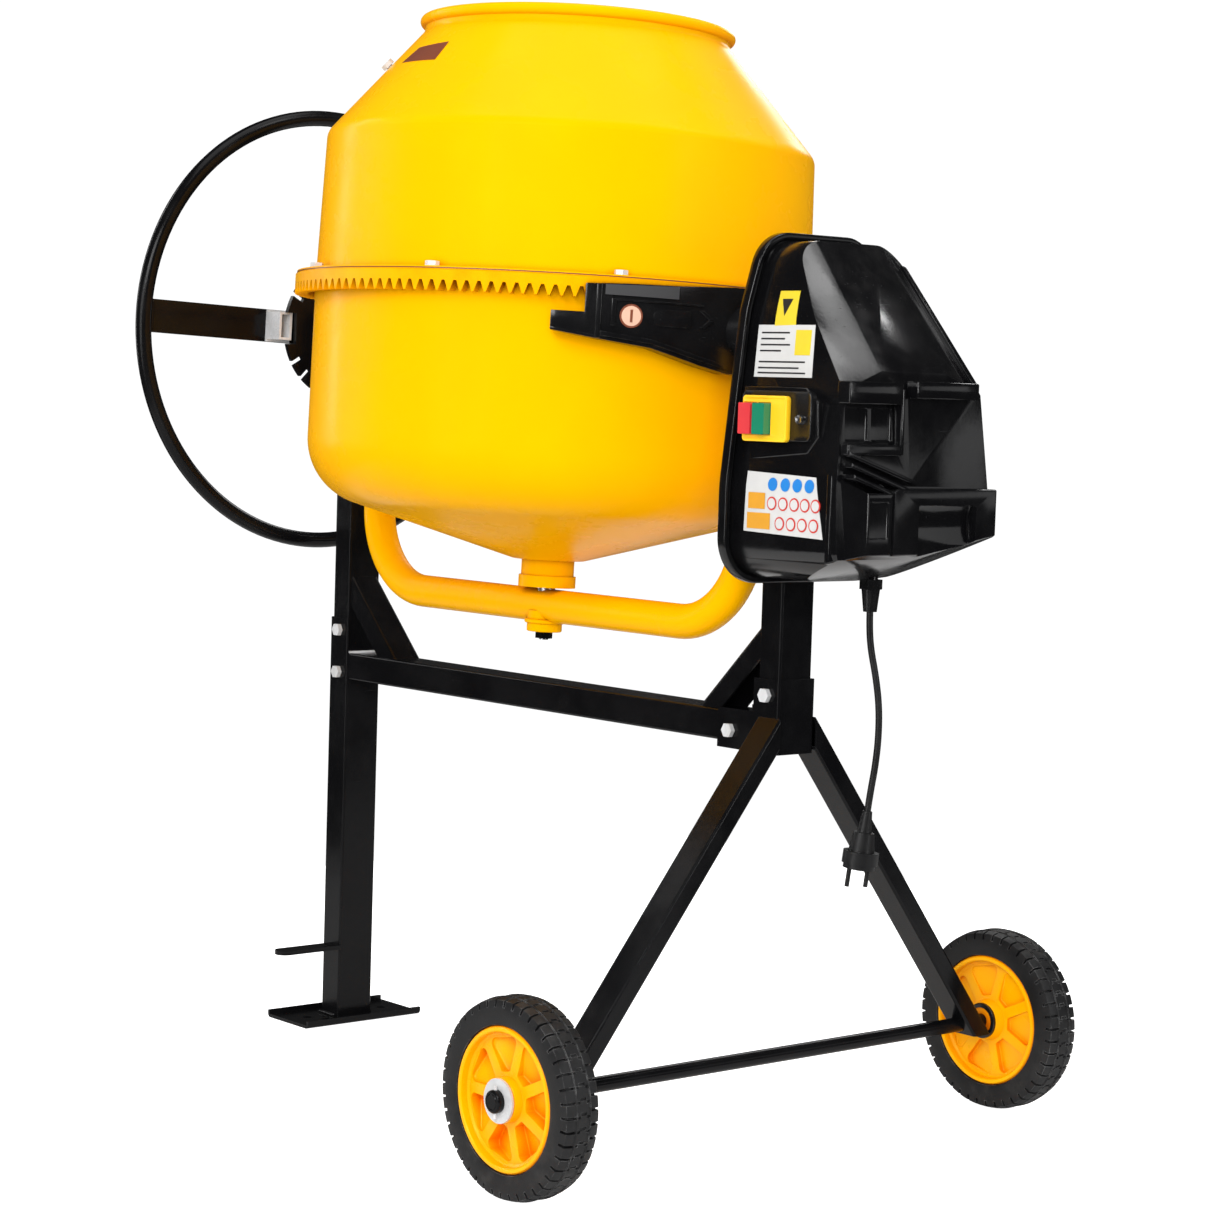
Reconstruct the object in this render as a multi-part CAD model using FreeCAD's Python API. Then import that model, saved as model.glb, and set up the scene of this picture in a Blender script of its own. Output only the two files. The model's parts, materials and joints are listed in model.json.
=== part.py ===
"""Tilting-drum concrete mixer on a two-wheeled steel stand.

Working axes while modelling: X runs from the handwheel side to the motor side,
Y from one wheel to the other, Z up from the floor, with X = 0 on the drum axis.
At export everything moves so that the origin is the bottom centre of the whole mixer.
Millimetres throughout.
"""
import math
import os

import FreeCAD, Part
from FreeCAD import Vector

# ---------------------------------------------------------------- driving dimensions
PIVOT_Z = 854.3            # height of the tilting axis
REST_TILT = 2.0            # degrees the drum leans at rest, mouth towards +Y
X_LOW = -477.0             # outermost face of the handwheel
X_HIGH = 575.0             # outermost face of the motor housing

POST_X = 384.7             # distance of both posts from the drum axis
POST_SIZE = (32.0, 46.0)   # post section along X and Y
POST_TOP = 816.0
TUBE_WALL = 2.0
BAR_TOP = 458.2            # top of the crossbar
BAR_HEIGHT = 32.7
LEG_SIZE = (36.2, 50.2)    # foot leg, which sleeves over its post
LEG_TOP = 501.0
BRACE_REACH = 94.0         # how far each brace stands along the crossbar and up the post
BRACE_SECTION = (24.0, 40.0)

FOOT_PLATE = (87.8, 170.6, 4.0)
FOOT_PLATE_X = -387.8
FOOT_HOLE_Y = 56.0
FOOT_HOLE_R = 5.5

WHEEL_R = 100.0
WHEEL_X = 390.3
WHEEL_OUTER_Y = 365.1
TYRE_WIDTH = 42.5
RIM_R = 72.0
AXLE_R = 8.0
LEG_TUBE = (35.0, 21.0)    # wheel leg section along X and across its length
LEG_FOOT_Y = 293.0         # where a wheel leg's centre line meets the axle height
LEG_HEAD = (26.0, 440.0)   # Y and Z where it meets the socket

RING_TEETH = 141
PINION_TEETH = 14
MODULE = 4.2
RING_R = (283.0, 301.7)    # inner and outer radius of the ring gear
TOOTH_INNER_R = 287.5
RING_TOP = 46.0
TOOTH_ROOT_Z = 35.5
TOOTH_TIP_Z = 24.6
TOOTH_THICK = 5.6          # at the pitch line, leaving the backlash of a cast gear
RING_SEGMENTS = 3
BOLTS_PER_SEGMENT = 3

SHELL_WALL = 2.0
DRUM_R = 279.0
SHOULDER = (274.5, 206.0)  # radius and height where the cone starts
NECK = (172.0, 325.0)
RIM_BEAD_R = 6.0
RIM_Z = 337.0
KNUCKLE_R = 75.0
BOTTOM_Z = -258.0
FLANGE_R = 300.0

YOKE_X = 330.0
YOKE_Z = -310.0
YOKE_R = 19.0
YOKE_WALL = 3.0
YOKE_BEND = 100.0
TRUNNION_R = 24.0
TRUNNION_BORE = 20.0
SHAFT_R = 8.5
FOOT_SHAFT_R = 14.0
RUNNING_GAP = 0.06         # radial clearance of every running fit

HANDWHEEL_R = 262.6
HANDWHEEL_TUBE_R = 9.5
HANDWHEEL_X = -467.4
ROCK_PIN_X = -451.0
DISC_X = (-433.0, -427.0)
DISC_R = 85.0
DISC_ROOT_R = 70.0
DISC_BOLT = (18.0, 97.0)   # how far each disc bolt is from the middle and below the pivot
LOCK_NOTCHES = (0.0, 90.0, 270.0)  # degrees round the disc from straight up
LOCK_NOTCH_WIDTH, TOOTH_NOTCH_WIDTH = 38.0, 6.0

BACK_X = 401.0             # inner face of the housing's back plate
COVER_WALL = 3.0
PULLEY_R = 80.0
MOTOR_PULLEY_R = 9.0
PULLEY_X = (416.0, 436.0)
MOTOR_Z = 690.0
MOTOR_R = 56.0
MOTOR_X = (446.0, 541.0)
FIN_COUNT, FIN_PITCH, FIN_THICK = 8, 9.0, 3.5

CORD_R = 3.5
GLAND_AT = (480.0, 25.0)
GLAND_Z = (573.0, 606.0)
CORD_ROUTE = [(480.0, 25.0, 573.0), (480.0, 25.2, 556.0), (481.8, 26.7, 534.0), (485.7, 31.3, 507.0),
              (488.6, 34.9, 476.0), (488.9, 35.4, 443.0), (487.3, 33.6, 413.0), (485.0, 30.8, 389.0),
              (483.4, 29.0, 368.0)]

X_MID = (X_LOW + X_HIGH) / 2
X_AXIS, Y_AXIS, Z_AXIS = Vector(1, 0, 0), Vector(0, 1, 0), Vector(0, 0, 1)
PIVOT = Vector(0, 0, PIVOT_Z)
TILTING, FIXED = {}, {}    # finished shapes, kept by node name


# ---------------------------------------------------------------- shape helpers
def box(x, y, z):
    """Box between pairs of limits along each axis."""
    return Part.makeBox(x[1] - x[0], y[1] - y[0], z[1] - z[0], Vector(x[0], y[0], z[0]))


def rod(radius, start, end):
    """Cylinder between two points."""
    start, end = Vector(*start), Vector(*end)
    return Part.makeCylinder(radius, (end - start).Length, start, end - start)


def pipe(outer, inner, start, end):
    """Hollow cylinder between two points."""
    return rod(outer, start, end).cut(rod(inner, start, end))


def fuse(shapes):
    """One solid from several that touch."""
    return shapes[0].multiFuse(shapes[1:]).removeSplitter()


def group(shapes):
    """Separate solids kept together in one node."""
    return Part.makeCompound(shapes)


def mirrored_y(shape):
    """The same shape on the other side of the XZ plane."""
    return shape.mirror(Vector(0, 0, 0), Y_AXIS)


def both_sides(shape):
    """A shape and its mirror image across the XZ plane."""
    return [shape, mirrored_y(shape)]


def rounded_path(points, radii):
    """Edges of a polyline whose inner corners are tangent arcs."""
    edges, last = [], points[0]
    for before, corner, after, radius in zip(points, points[1:], points[2:], radii):
        back, ahead = (before - corner).normalize(), (after - corner).normalize()
        half = back.getAngle(ahead) / 2
        reach = radius / math.tan(half)
        start, end = corner + back * reach, corner + ahead * reach
        middle = corner + (back + ahead).normalize() * (radius / math.sin(half) - radius)
        if (start - last).Length > 1e-6:
            edges.append(Part.LineSegment(last, start).toShape())
        edges.append(Part.Arc(start, middle, end).toShape())
        last = end
    if (points[-1] - last).Length > 1e-6:
        edges.append(Part.LineSegment(last, points[-1]).toShape())
    return edges


def rounded_outline(corners):
    """Closed wire in the YZ plane from (y, z, corner radius) triples."""
    points = [Vector(0, y, z) for y, z, _ in corners]
    start = (points[-1] + points[0]) / 2
    edges = rounded_path([start] + points + [start], [r for _, _, r in corners])
    return Part.Wire(edges)


def thick_profile(points, radii, wall):
    """Face in the XZ plane: a rounded polyline thickened towards its left side."""
    flat = [Vector(r, 0, z) for r, z in points]
    steps = [(b - a).normalize() for a, b in zip(flat, flat[1:])]
    normals = [Vector(-s.z, 0, s.x) for s in steps]
    inner = [flat[0] + normals[0] * wall]
    inner_radii = []
    for index, radius in enumerate(radii):
        first, second = normals[index], normals[index + 1]
        bisector = (first + second).normalize()
        inner.append(flat[index + 1] + bisector * (wall / bisector.dot(first)))
        turns_left = steps[index].x * steps[index + 1].z - steps[index].z * steps[index + 1].x > 0
        inner_radii.append(radius - wall if turns_left else radius + wall)
    inner.append(flat[-1] + normals[-1] * wall)
    edges = rounded_path(flat, radii) + [Part.LineSegment(flat[-1], inner[-1]).toShape()]
    edges += rounded_path(inner, inner_radii) + [Part.LineSegment(inner[0], flat[0]).toShape()]
    return Part.Face(Part.Wire(Part.__sortEdges__(edges)))


def turned(face, angle=360.0):
    """Revolve a face about the drum axis."""
    return face.revolve(Vector(0, 0, 0), Z_AXIS, angle)


def ring_sector(inner, outer, low, high, start=0.0, sweep=360.0):
    """Sector of a flat ring about the drum axis, angles in degrees from +X."""
    face = Part.Face(Part.makePolygon([Vector(inner, 0, low), Vector(outer, 0, low), Vector(outer, 0, high),
                                       Vector(inner, 0, high), Vector(inner, 0, low)]))
    sector = turned(face, sweep)
    sector.rotate(Vector(0, 0, 0), Z_AXIS, start)
    return sector


def rect_tube(size, wall, length):
    """Square-cornered tube standing on Z = 0, centred on the Z axis."""
    outer = box((-size[0] / 2, size[0] / 2), (-size[1] / 2, size[1] / 2), (0, length))
    inner = box((-size[0] / 2 + wall, size[0] / 2 - wall), (-size[1] / 2 + wall, size[1] / 2 - wall), (0, length))
    outer = outer.makeFillet(wall * 1.4, [edge for edge in outer.Edges if abs(edge.tangentAt(0).z) > 0.9])
    return outer.cut(inner)


def hexagon(across, start, end):
    """Hexagonal prism between two points, given its size across flats."""
    start, end = Vector(*start), Vector(*end)
    corner = across / math.sqrt(3)
    points = [Vector(corner * math.cos(math.radians(60 * k)), corner * math.sin(math.radians(60 * k)), 0)
              for k in range(7)]
    prism = Part.Face(Part.makePolygon(points)).extrude(Vector(0, 0, (end - start).Length))
    prism.Placement = FreeCAD.Placement(start, FreeCAD.Rotation(Z_AXIS, end - start))
    return prism


def bolt(radius, start, end, head=5.3, nut=True):
    """Hex bolt whose shank runs from start to end, with its head before start and a nut beyond end."""
    start, end = Vector(*start), Vector(*end)
    along = (end - start).normalize()
    solids = [rod(radius, start, end + along * (2.0 if nut else 0.0)),
              hexagon(radius * 3.25, start - along * head, start)]
    if not nut:
        return [fuse(solids)]
    tip = end + along * radius * 1.9
    ring = hexagon(radius * 3.25, end, end + along * radius * 1.6)
    return [fuse(solids[:1] + [rod(radius, start, tip), solids[1]]), ring.cut(rod(radius, start, tip))]


# ---------------------------------------------------------------- stand
def make_foot():
    """Foot plate, lower leg and foot step under the handwheel side."""
    length_x, length_y, thick = FOOT_PLATE
    lip = 9.0
    low, high = FOOT_PLATE_X - length_x / 2, FOOT_PLATE_X + length_x / 2
    plate = box((low, high), (-length_y / 2, length_y / 2), (0, lip))
    plate = plate.makeFillet(5.0, [e for e in plate.Edges if abs(e.tangentAt(0).y) > 0.9 and e.CenterOfMass.z < 1])
    plate = plate.cut(box((low + 3.5, high - 3.5), (-length_y / 2, length_y / 2), (thick, lip)))
    for y in (-FOOT_HOLE_Y, FOOT_HOLE_Y):
        plate = plate.cut(rod(FOOT_HOLE_R, (FOOT_PLATE_X, y, -1), (FOOT_PLATE_X, y, thick + 1)))
    FIXED["foot_plate"] = plate

    leg = rect_tube(LEG_SIZE, TUBE_WALL, LEG_TOP - thick)
    leg.translate(Vector(-POST_X, 0, thick))
    bar_low = BAR_TOP - BAR_HEIGHT
    slot_half = POST_SIZE[1] / 2 + 0.1
    leg = leg.cut(box((-POST_X + 4, -POST_X + 40), (-slot_half, slot_half), (bar_low, LEG_TOP)))
    leg = leg.cut(group([rod(4.2, (-POST_X, -40, z), (-POST_X, 40, z)) for z in (434.0, 486.0)]))
    FIXED["foot_leg"] = leg

    step_x, step_z = -375.0, 90.0
    tip = rod(12.0, (step_x, -101.0, step_z), (step_x, -101.0, step_z + 5))
    bar = box((step_x - 12, step_x + 12), (-101.0, -LEG_SIZE[1] / 2), (step_z, step_z + 5))
    FIXED["foot_step"] = fuse([bar, tip])


def make_posts():
    """Both posts, the crossbar between them and the two braces."""
    bar_low = BAR_TOP - BAR_HEIGHT
    for name, x, low in (("foot_post", -POST_X, bar_low - 20), ("motor_post", POST_X, 419.0)):
        post = rect_tube(POST_SIZE, TUBE_WALL, POST_TOP - low)
        post.translate(Vector(x, 0, low))
        holes = (434.0, 486.0, POST_TOP - 22) if x < 0 else (480.0, POST_TOP - 22)
        FIXED[name] = post.cut(group([rod(4.2, (x, -40, z), (x, 40, z)) for z in holes]))

    half = POST_X - POST_SIZE[0] / 2
    bar = rect_tube((BAR_HEIGHT, POST_SIZE[1]), TUBE_WALL, 2 * half)
    bar.rotate(Vector(0, 0, 0), Y_AXIS, 90)
    bar.translate(Vector(-half, 0, BAR_TOP - BAR_HEIGHT / 2))
    bar = bar.cut(rod(4.2, (331.0, -40, 438.0), (331.0, 40, 438.0)))
    FIXED["crossbar"] = bar

    depth, width = BRACE_SECTION
    slope = math.sqrt(0.5)
    channel = box((-depth / 2, depth / 2), (-width / 2, width / 2), (-120, 120))
    channel = channel.makeFillet(4.0, [e for e in channel.Edges if abs(e.tangentAt(0).z) > 0.9
                                       and e.CenterOfMass.x < 0])
    channel = channel.cut(box((-depth / 2 + 3, depth), (-width / 2 + 3, width / 2 - 3), (-121, 121)))
    channel.rotate(Vector(0, 0, 0), Y_AXIS, 45)
    centre = BRACE_REACH / 2
    channel.translate(Vector(half - centre + depth / 2 * slope, 0, BAR_TOP + centre - depth / 2 * slope))
    corner = box((0, half), (-50, 50), (BAR_TOP, BAR_TOP + 200))
    brace = channel.common(corner)
    FIXED["motor_brace"] = brace
    FIXED["foot_brace"] = brace.mirror(Vector(0, 0, 0), X_AXIS)


def make_socket():
    """Bent socket that joins the crossbar, the motor post and both wheel legs."""
    low, high = 419.0, 497.0
    outer = box((POST_X - 19, POST_X + 19), (-26, 26), (low, high))
    corners = [e for e in outer.Edges if abs(e.tangentAt(0).z) > 0.9 and e.CenterOfMass.x > POST_X]
    outer = outer.makeFillet(3.0, corners)
    ears = box((312.0, POST_X), (-26, 26), (low, BAR_TOP + 3))
    socket = outer.fuse(ears)
    half = POST_X - POST_SIZE[0] / 2
    socket = socket.cut(box((half, POST_X + 16), (-23, 23), (low - 1, high + 1)))
    socket = socket.cut(box((300, half), (-23, 23), (BAR_TOP - BAR_HEIGHT, BAR_TOP + 10)))
    socket = socket.cut(box((300, half - 3), (-23, 23), (low - 1, BAR_TOP)))
    socket = socket.cut(group([rod(4.2, (331.0, -40, 438.0), (331.0, 40, 438.0)),
                               rod(4.2, (POST_X, -40, 480.0), (POST_X, 40, 480.0))]))
    FIXED["leg_socket"] = socket.removeSplitter()


def make_wheel_legs():
    """Inclined tubes from the socket down to the axle."""
    run, rise = LEG_FOOT_Y - LEG_HEAD[0], LEG_HEAD[1] - WHEEL_R
    lean = math.degrees(math.atan2(run, rise))
    leg = rect_tube(LEG_TUBE, TUBE_WALL, 600.0)
    leg.translate(Vector(0, 0, -100))
    leg.rotate(Vector(0, 0, 0), X_AXIS, 180 + lean)
    leg.translate(Vector(WHEEL_X, LEG_HEAD[0], LEG_HEAD[1]))
    keep = box((WHEEL_X - 30, WHEEL_X + 30), (LEG_HEAD[0], 400), (WHEEL_R - 12.0, 600))
    leg = leg.common(keep)
    leg = leg.cut(rod(AXLE_R, (WHEEL_X, 200, WHEEL_R), (WHEEL_X, 400, WHEEL_R)))
    FIXED["far_leg"] = leg
    FIXED["near_leg"] = mirrored_y(leg)


def make_axle():
    """Axle rod with its washers and cotter pins."""
    end = WHEEL_OUTER_Y + 13.0
    axle = rod(AXLE_R, (WHEEL_X, -end, WHEEL_R), (WHEEL_X, end, WHEEL_R))
    pin_y = WHEEL_OUTER_Y + 8.0
    pins = both_sides(rod(1.8, (WHEEL_X, pin_y, WHEEL_R - 17), (WHEEL_X, pin_y, WHEEL_R + 15)))
    axle = axle.cut(group(pins))
    FIXED["axle"] = axle.makeChamfer(1.0, [e for e in axle.Edges if abs(abs(e.CenterOfMass.y) - end) < 0.01])
    face_y = WHEEL_OUTER_Y + 2.4
    washer = pipe(22.0, AXLE_R, (WHEEL_X, face_y, WHEEL_R), (WHEEL_X, face_y + 2.6, WHEEL_R))
    FIXED["axle_washers"] = group(both_sides(washer) + pins)


def make_frame_bolts():
    """Hex bolts and nuts that hold the stand together."""
    solids = []
    for z in (434.0, 486.0):
        solids += bolt(4.2, (-POST_X, -LEG_SIZE[1] / 2, z), (-POST_X, LEG_SIZE[1] / 2, z))
    for x, z in ((331.0, 438.0), (POST_X, 480.0)):
        solids += bolt(4.2, (x, -26.0, z), (x, 26.0, z))
    for x in (-POST_X, POST_X):
        solids += bolt(4.2, (x, -27.0, POST_TOP - 22), (x, 27.0, POST_TOP - 22))
    for y in (-DISC_BOLT[0], DISC_BOLT[0]):
        z = PIVOT_Z - DISC_BOLT[1]
        solids.append(pipe(7.0, 4.2, (DISC_X[1], y, z), (-POST_X - 16, y, z)))
        solids.append(fuse([rod(4.2, (DISC_X[0], y, z), (-POST_X - 16, y, z)),
                            hexagon(13.0, (DISC_X[0] - 5.3, y, z), (DISC_X[0], y, z))]))
    FIXED["frame_bolts"] = group(solids)


# ---------------------------------------------------------------- bearings and tilt lock
def bearing_block(x, bore, boss, skirt_x):
    """Cast bearing block that caps a post and carries one trunnion."""
    skirt = box(skirt_x, (-27, 27), (POST_TOP - 44, POST_TOP + 6))
    skirt = skirt.cut(box((x - 16, x + 16), (-23, 23), (POST_TOP - 45, POST_TOP)))
    barrel = rod(bore + 10.0, (boss[0], 0, PIVOT_Z), (boss[1], 0, PIVOT_Z))
    web = box((x - 12, x + 12), (-24, 24), (POST_TOP + 6, PIVOT_Z))
    block = fuse([skirt, web, barrel])
    block = block.cut(rod(bore + RUNNING_GAP, (boss[0] - 1, 0, PIVOT_Z), (boss[1] + 1, 0, PIVOT_Z)))
    return block.cut(rod(4.2, (x, -40, POST_TOP - 22), (x, 40, POST_TOP - 22)))


def make_bearings():
    """Bearing blocks on both posts and the notched disc that locks the tilt."""
    FIXED["foot_bearing"] = bearing_block(-POST_X, FOOT_SHAFT_R, (DISC_X[1], -POST_X + 16),
                                           (-POST_X - 20, -POST_X + 20))
    FIXED["motor_bearing"] = bearing_block(POST_X, TRUNNION_R, (POST_X - 15, POST_X + 15),
                                            (POST_X - 20, POST_X + 16))

    disc = rod(DISC_R, (DISC_X[0], 0, PIVOT_Z), (DISC_X[1], 0, PIVOT_Z))
    tab = box(DISC_X, (-28, 28), (PIVOT_Z - 112, PIVOT_Z - 60))
    disc = disc.fuse(tab)
    disc = disc.cut(rod(FOOT_SHAFT_R + 2, (DISC_X[0] - 1, 0, PIVOT_Z), (DISC_X[1] + 1, 0, PIVOT_Z)))
    teeth = [quarter + step for quarter in (0.0, 90.0, 180.0, 270.0) for step in (30.0, 45.0, 60.0)]
    notches = [(angle, LOCK_NOTCH_WIDTH) for angle in LOCK_NOTCHES]
    notches += [(angle, TOOTH_NOTCH_WIDTH) for angle in teeth]
    cutters = []
    for angle, width in notches:
        notch = box((DISC_X[0] - 1, DISC_X[1] + 1), (-width / 2, width / 2), (DISC_ROOT_R, DISC_R + 20))
        notch.rotate(Vector(0, 0, 0), X_AXIS, angle)
        notch.translate(PIVOT)
        cutters.append(notch)
    bolts = [(DISC_X[0] - 1, y, PIVOT_Z - DISC_BOLT[1]) for y in (-DISC_BOLT[0], DISC_BOLT[0])]
    holes = [rod(4.2, p, (p[0] + 8, p[1], p[2])) for p in bolts]
    FIXED["lock_disc"] = disc.cut(group(cutters + holes)).removeSplitter()


# ---------------------------------------------------------------- yoke
def make_yoke():
    """Bent pipe that carries the drum, with its trunnions and the drum's fixed axle."""
    corners = [(-YOKE_X, 0), (-YOKE_X, YOKE_Z), (YOKE_X, YOKE_Z), (YOKE_X, 0)]
    points = [Vector(x, 0, z) for x, z in corners]
    path = Part.Wire(rounded_path(points, [YOKE_BEND, YOKE_BEND]))
    solids = []
    for radius in (YOKE_R, YOKE_R - YOKE_WALL):
        circle = Part.Wire(Part.makeCircle(radius, points[0], Vector(0, 0, -1)))
        solids.append(path.makePipeShell([circle], True, False))
    pipe_body = solids[0].cut(solids[1])
    trunnions = rod(TRUNNION_R, (-400, 0, 0), (400, 0, 0))
    axle_r = 10.0
    axle_hole = rod(axle_r, (0, 0, YOKE_Z - 60), (0, 0, YOKE_Z + 60))
    boss_low = YOKE_Z - 30.0
    boss = rod(YOKE_R, (0, 0, boss_low), (0, 0, YOKE_Z))
    TILTING["yoke"] = fuse([pipe_body, boss]).cut(trunnions).cut(axle_hole)

    top = -238.0
    nut = hexagon(17.0, (0, 0, boss_low - 7.5), (0, 0, boss_low))
    # the threaded end below the boss is thinner than the axle
    thread = rod(5.0, (0, 0, boss_low - 9), (0, 0, boss_low))
    TILTING["drum_axle"] = rod(axle_r, (0, 0, boss_low), (0, 0, top)).fuse(thread).removeSplitter()
    TILTING["axle_nut"] = nut.cut(thread)

    sleeve = rod(TRUNNION_R, (-YOKE_X - 22, 0, 0), (-YOKE_X + 22, 0, 0))
    shaft = rod(FOOT_SHAFT_R, (-460.0, 0, 0), (-YOKE_X, 0, 0))
    pin_hole = rod(5.0 + RUNNING_GAP, (ROCK_PIN_X, 0, -30), (ROCK_PIN_X, 0, 30))
    TILTING["foot_trunnion"] = fuse([sleeve, shaft]).cut(pin_hole)

    TILTING["motor_trunnion"] = pipe(TRUNNION_R, TRUNNION_BORE, (303.6, 0, 0), (405.0, 0, 0))
    bearings = [pipe(TRUNNION_BORE, SHAFT_R + RUNNING_GAP, (x, 0, 0), (x + 12, 0, 0)) for x in (306.0, 390.0)]
    TILTING["pinion_bearings"] = group(bearings)


def make_gear_guard():
    """Moulded guard over the pinion and the ring gear's teeth."""
    outer_r, wall = 307.5, 3.5
    reach, block_reach = 36.0, 43.0
    low = -58.0

    def solid(inner, outer, drop):
        sector = ring_sector(inner, outer, low - drop, 34.5, -block_reach, 2 * block_reach)
        edge = [Vector(200, 18, low - drop), Vector(200, 230, -11.0 - drop), Vector(200, 230, low - 60),
                Vector(200, -230, low - 60), Vector(200, -230, -11.0 - drop), Vector(200, -18, low - drop)]
        under = Part.Face(Part.makePolygon(edge + edge[:1])).extrude(Vector(200, 0, 0))
        return sector.cut(under)

    guard = solid(286.0, outer_r, 0.0).cut(solid(280.0, outer_r - wall, -3.0).fuse(
        ring_sector(280.0, outer_r - wall, 0, 60, -50, 100)))
    step_y = outer_r * math.sin(math.radians(reach))
    for shape in both_sides(box((150, 350), (step_y, 250), (6.0, 60))):
        guard = guard.cut(shape)
    guard = guard.cut(rod(TRUNNION_R, (290, 0, 0), (350, 0, 0)))
    TILTING["gear_guard"] = guard.removeSplitter()


# ---------------------------------------------------------------- drum
def make_drum_shells():
    """Lower bowl and upper cone of the drum, each pressed from sheet."""
    slope = math.tan(math.radians(16.0))
    corner_z = BOTTOM_Z + (DRUM_R - 40.0) * slope
    bowl = thick_profile([(22.0, BOTTOM_Z), (40.0, BOTTOM_Z), (DRUM_R, corner_z), (DRUM_R, RING_TOP),
                          (FLANGE_R, RING_TOP)], [20.0, KNUCKLE_R, 4.0], SHELL_WALL)
    TILTING["drum_bowl"] = turned(bowl)

    flange_top = RING_TOP + 2 * SHELL_WALL
    cone = thick_profile([(FLANGE_R, flange_top), (DRUM_R, flange_top), SHOULDER, NECK, (NECK[0], RIM_Z)],
                         [3.0, 18.0, 8.0], SHELL_WALL)
    bead = Part.makeTorus(NECK[0] - 0.5, RIM_BEAD_R, Vector(0, 0, RIM_Z))
    TILTING["drum_cone"] = turned(cone).fuse(bead).removeSplitter()


def tooth_gap():
    """Cutter for one gap of the ring gear, tapering towards the drum axis."""
    pitch_r = RING_TEETH * MODULE / 2
    pitch_z = PINION_TEETH * MODULE / 2
    gap = math.pi * MODULE - TOOTH_THICK
    flank = math.tan(math.radians(20.0))
    wires = []
    for radius in (RING_R[0] - 4, RING_R[1] + 4):
        scale = radius / pitch_r
        points = []
        for side, z in ((-1, TOOTH_TIP_Z - 1), (1, TOOTH_TIP_Z - 1), (1, TOOTH_ROOT_Z), (-1, TOOTH_ROOT_Z)):
            half = (gap / 2 + (pitch_z - z) * flank) * scale
            points.append(Vector(radius, side * half, z))
        wires.append(Part.makePolygon(points + points[:1]))
    return Part.makeLoft(wires, True, True)


def bolt_angles():
    """Angles of the flange bolts, spread evenly over the ring segments."""
    pitch = 360.0 / RING_TEETH
    start = -3 * pitch
    step = 360.0 / (RING_SEGMENTS * BOLTS_PER_SEGMENT)
    return start, [start + step * (index + 0.5) for index in range(RING_SEGMENTS * BOLTS_PER_SEGMENT)]


def make_ring_gear():
    """Cast ring gear in three bolted segments, teeth pointing down."""
    pitch = 360.0 / RING_TEETH
    start, angles = bolt_angles()
    sweep = 360.0 / RING_SEGMENTS
    blank = ring_sector(RING_R[0], RING_R[1], TOOTH_ROOT_Z, RING_TOP, start + 0.05, sweep - 0.1)
    teeth = ring_sector(TOOTH_INNER_R, RING_R[1], TOOTH_TIP_Z, TOOTH_ROOT_Z, start + 0.05, sweep - 0.1)
    gaps = []
    for index in range(RING_TEETH // RING_SEGMENTS + 1):
        gap = tooth_gap()
        gap.rotate(Vector(0, 0, 0), Z_AXIS, start + index * pitch)
        gaps.append(gap)
    bolt_r, at = 4.0, 291.0
    segment = blank.fuse(teeth.cut(group(gaps)))
    holes = []
    for angle in angles[:BOLTS_PER_SEGMENT]:
        hole = rod(bolt_r, (at, 0, RING_TOP - 8), (at, 0, RING_TOP + 1))
        hole.rotate(Vector(0, 0, 0), Z_AXIS, angle)
        holes.append(hole)
    segment = segment.cut(group(holes)).removeSplitter()
    segments = []
    for index in range(RING_SEGMENTS):
        copy = segment.copy()
        copy.rotate(Vector(0, 0, 0), Z_AXIS, sweep * index)
        segments.append(copy)
    TILTING["ring_gear"] = group(segments)

    top = RING_TOP + 2 * SHELL_WALL
    screws, through = [], []
    for angle in angles:
        screw = bolt(bolt_r, (at, 0, top), (at, 0, RING_TOP - 8), nut=False)[0]
        hole = rod(bolt_r, (at, 0, RING_TOP - 1), (at, 0, top + 1))
        for shape, target in ((screw, screws), (hole, through)):
            shape.rotate(Vector(0, 0, 0), Z_AXIS, angle)
            target.append(shape)
    TILTING["drum_bolts"] = screws
    for name in ("drum_bowl", "drum_cone"):
        TILTING[name] = TILTING[name].cut(group(through))


def cylinder_point(radius, angle, height):
    """Point at a radius, an angle in degrees from +X and a height on the drum axis."""
    turn = math.radians(angle)
    return Vector(radius * math.cos(turn), radius * math.sin(turn), height)


def cone_radius(height):
    """Inner radius of the cone at a height, allowing for the wall's slope."""
    share = (height - SHOULDER[1]) / (NECK[1] - SHOULDER[1])
    return SHOULDER[0] + (NECK[0] - SHOULDER[0]) * share - 3.1


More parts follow.
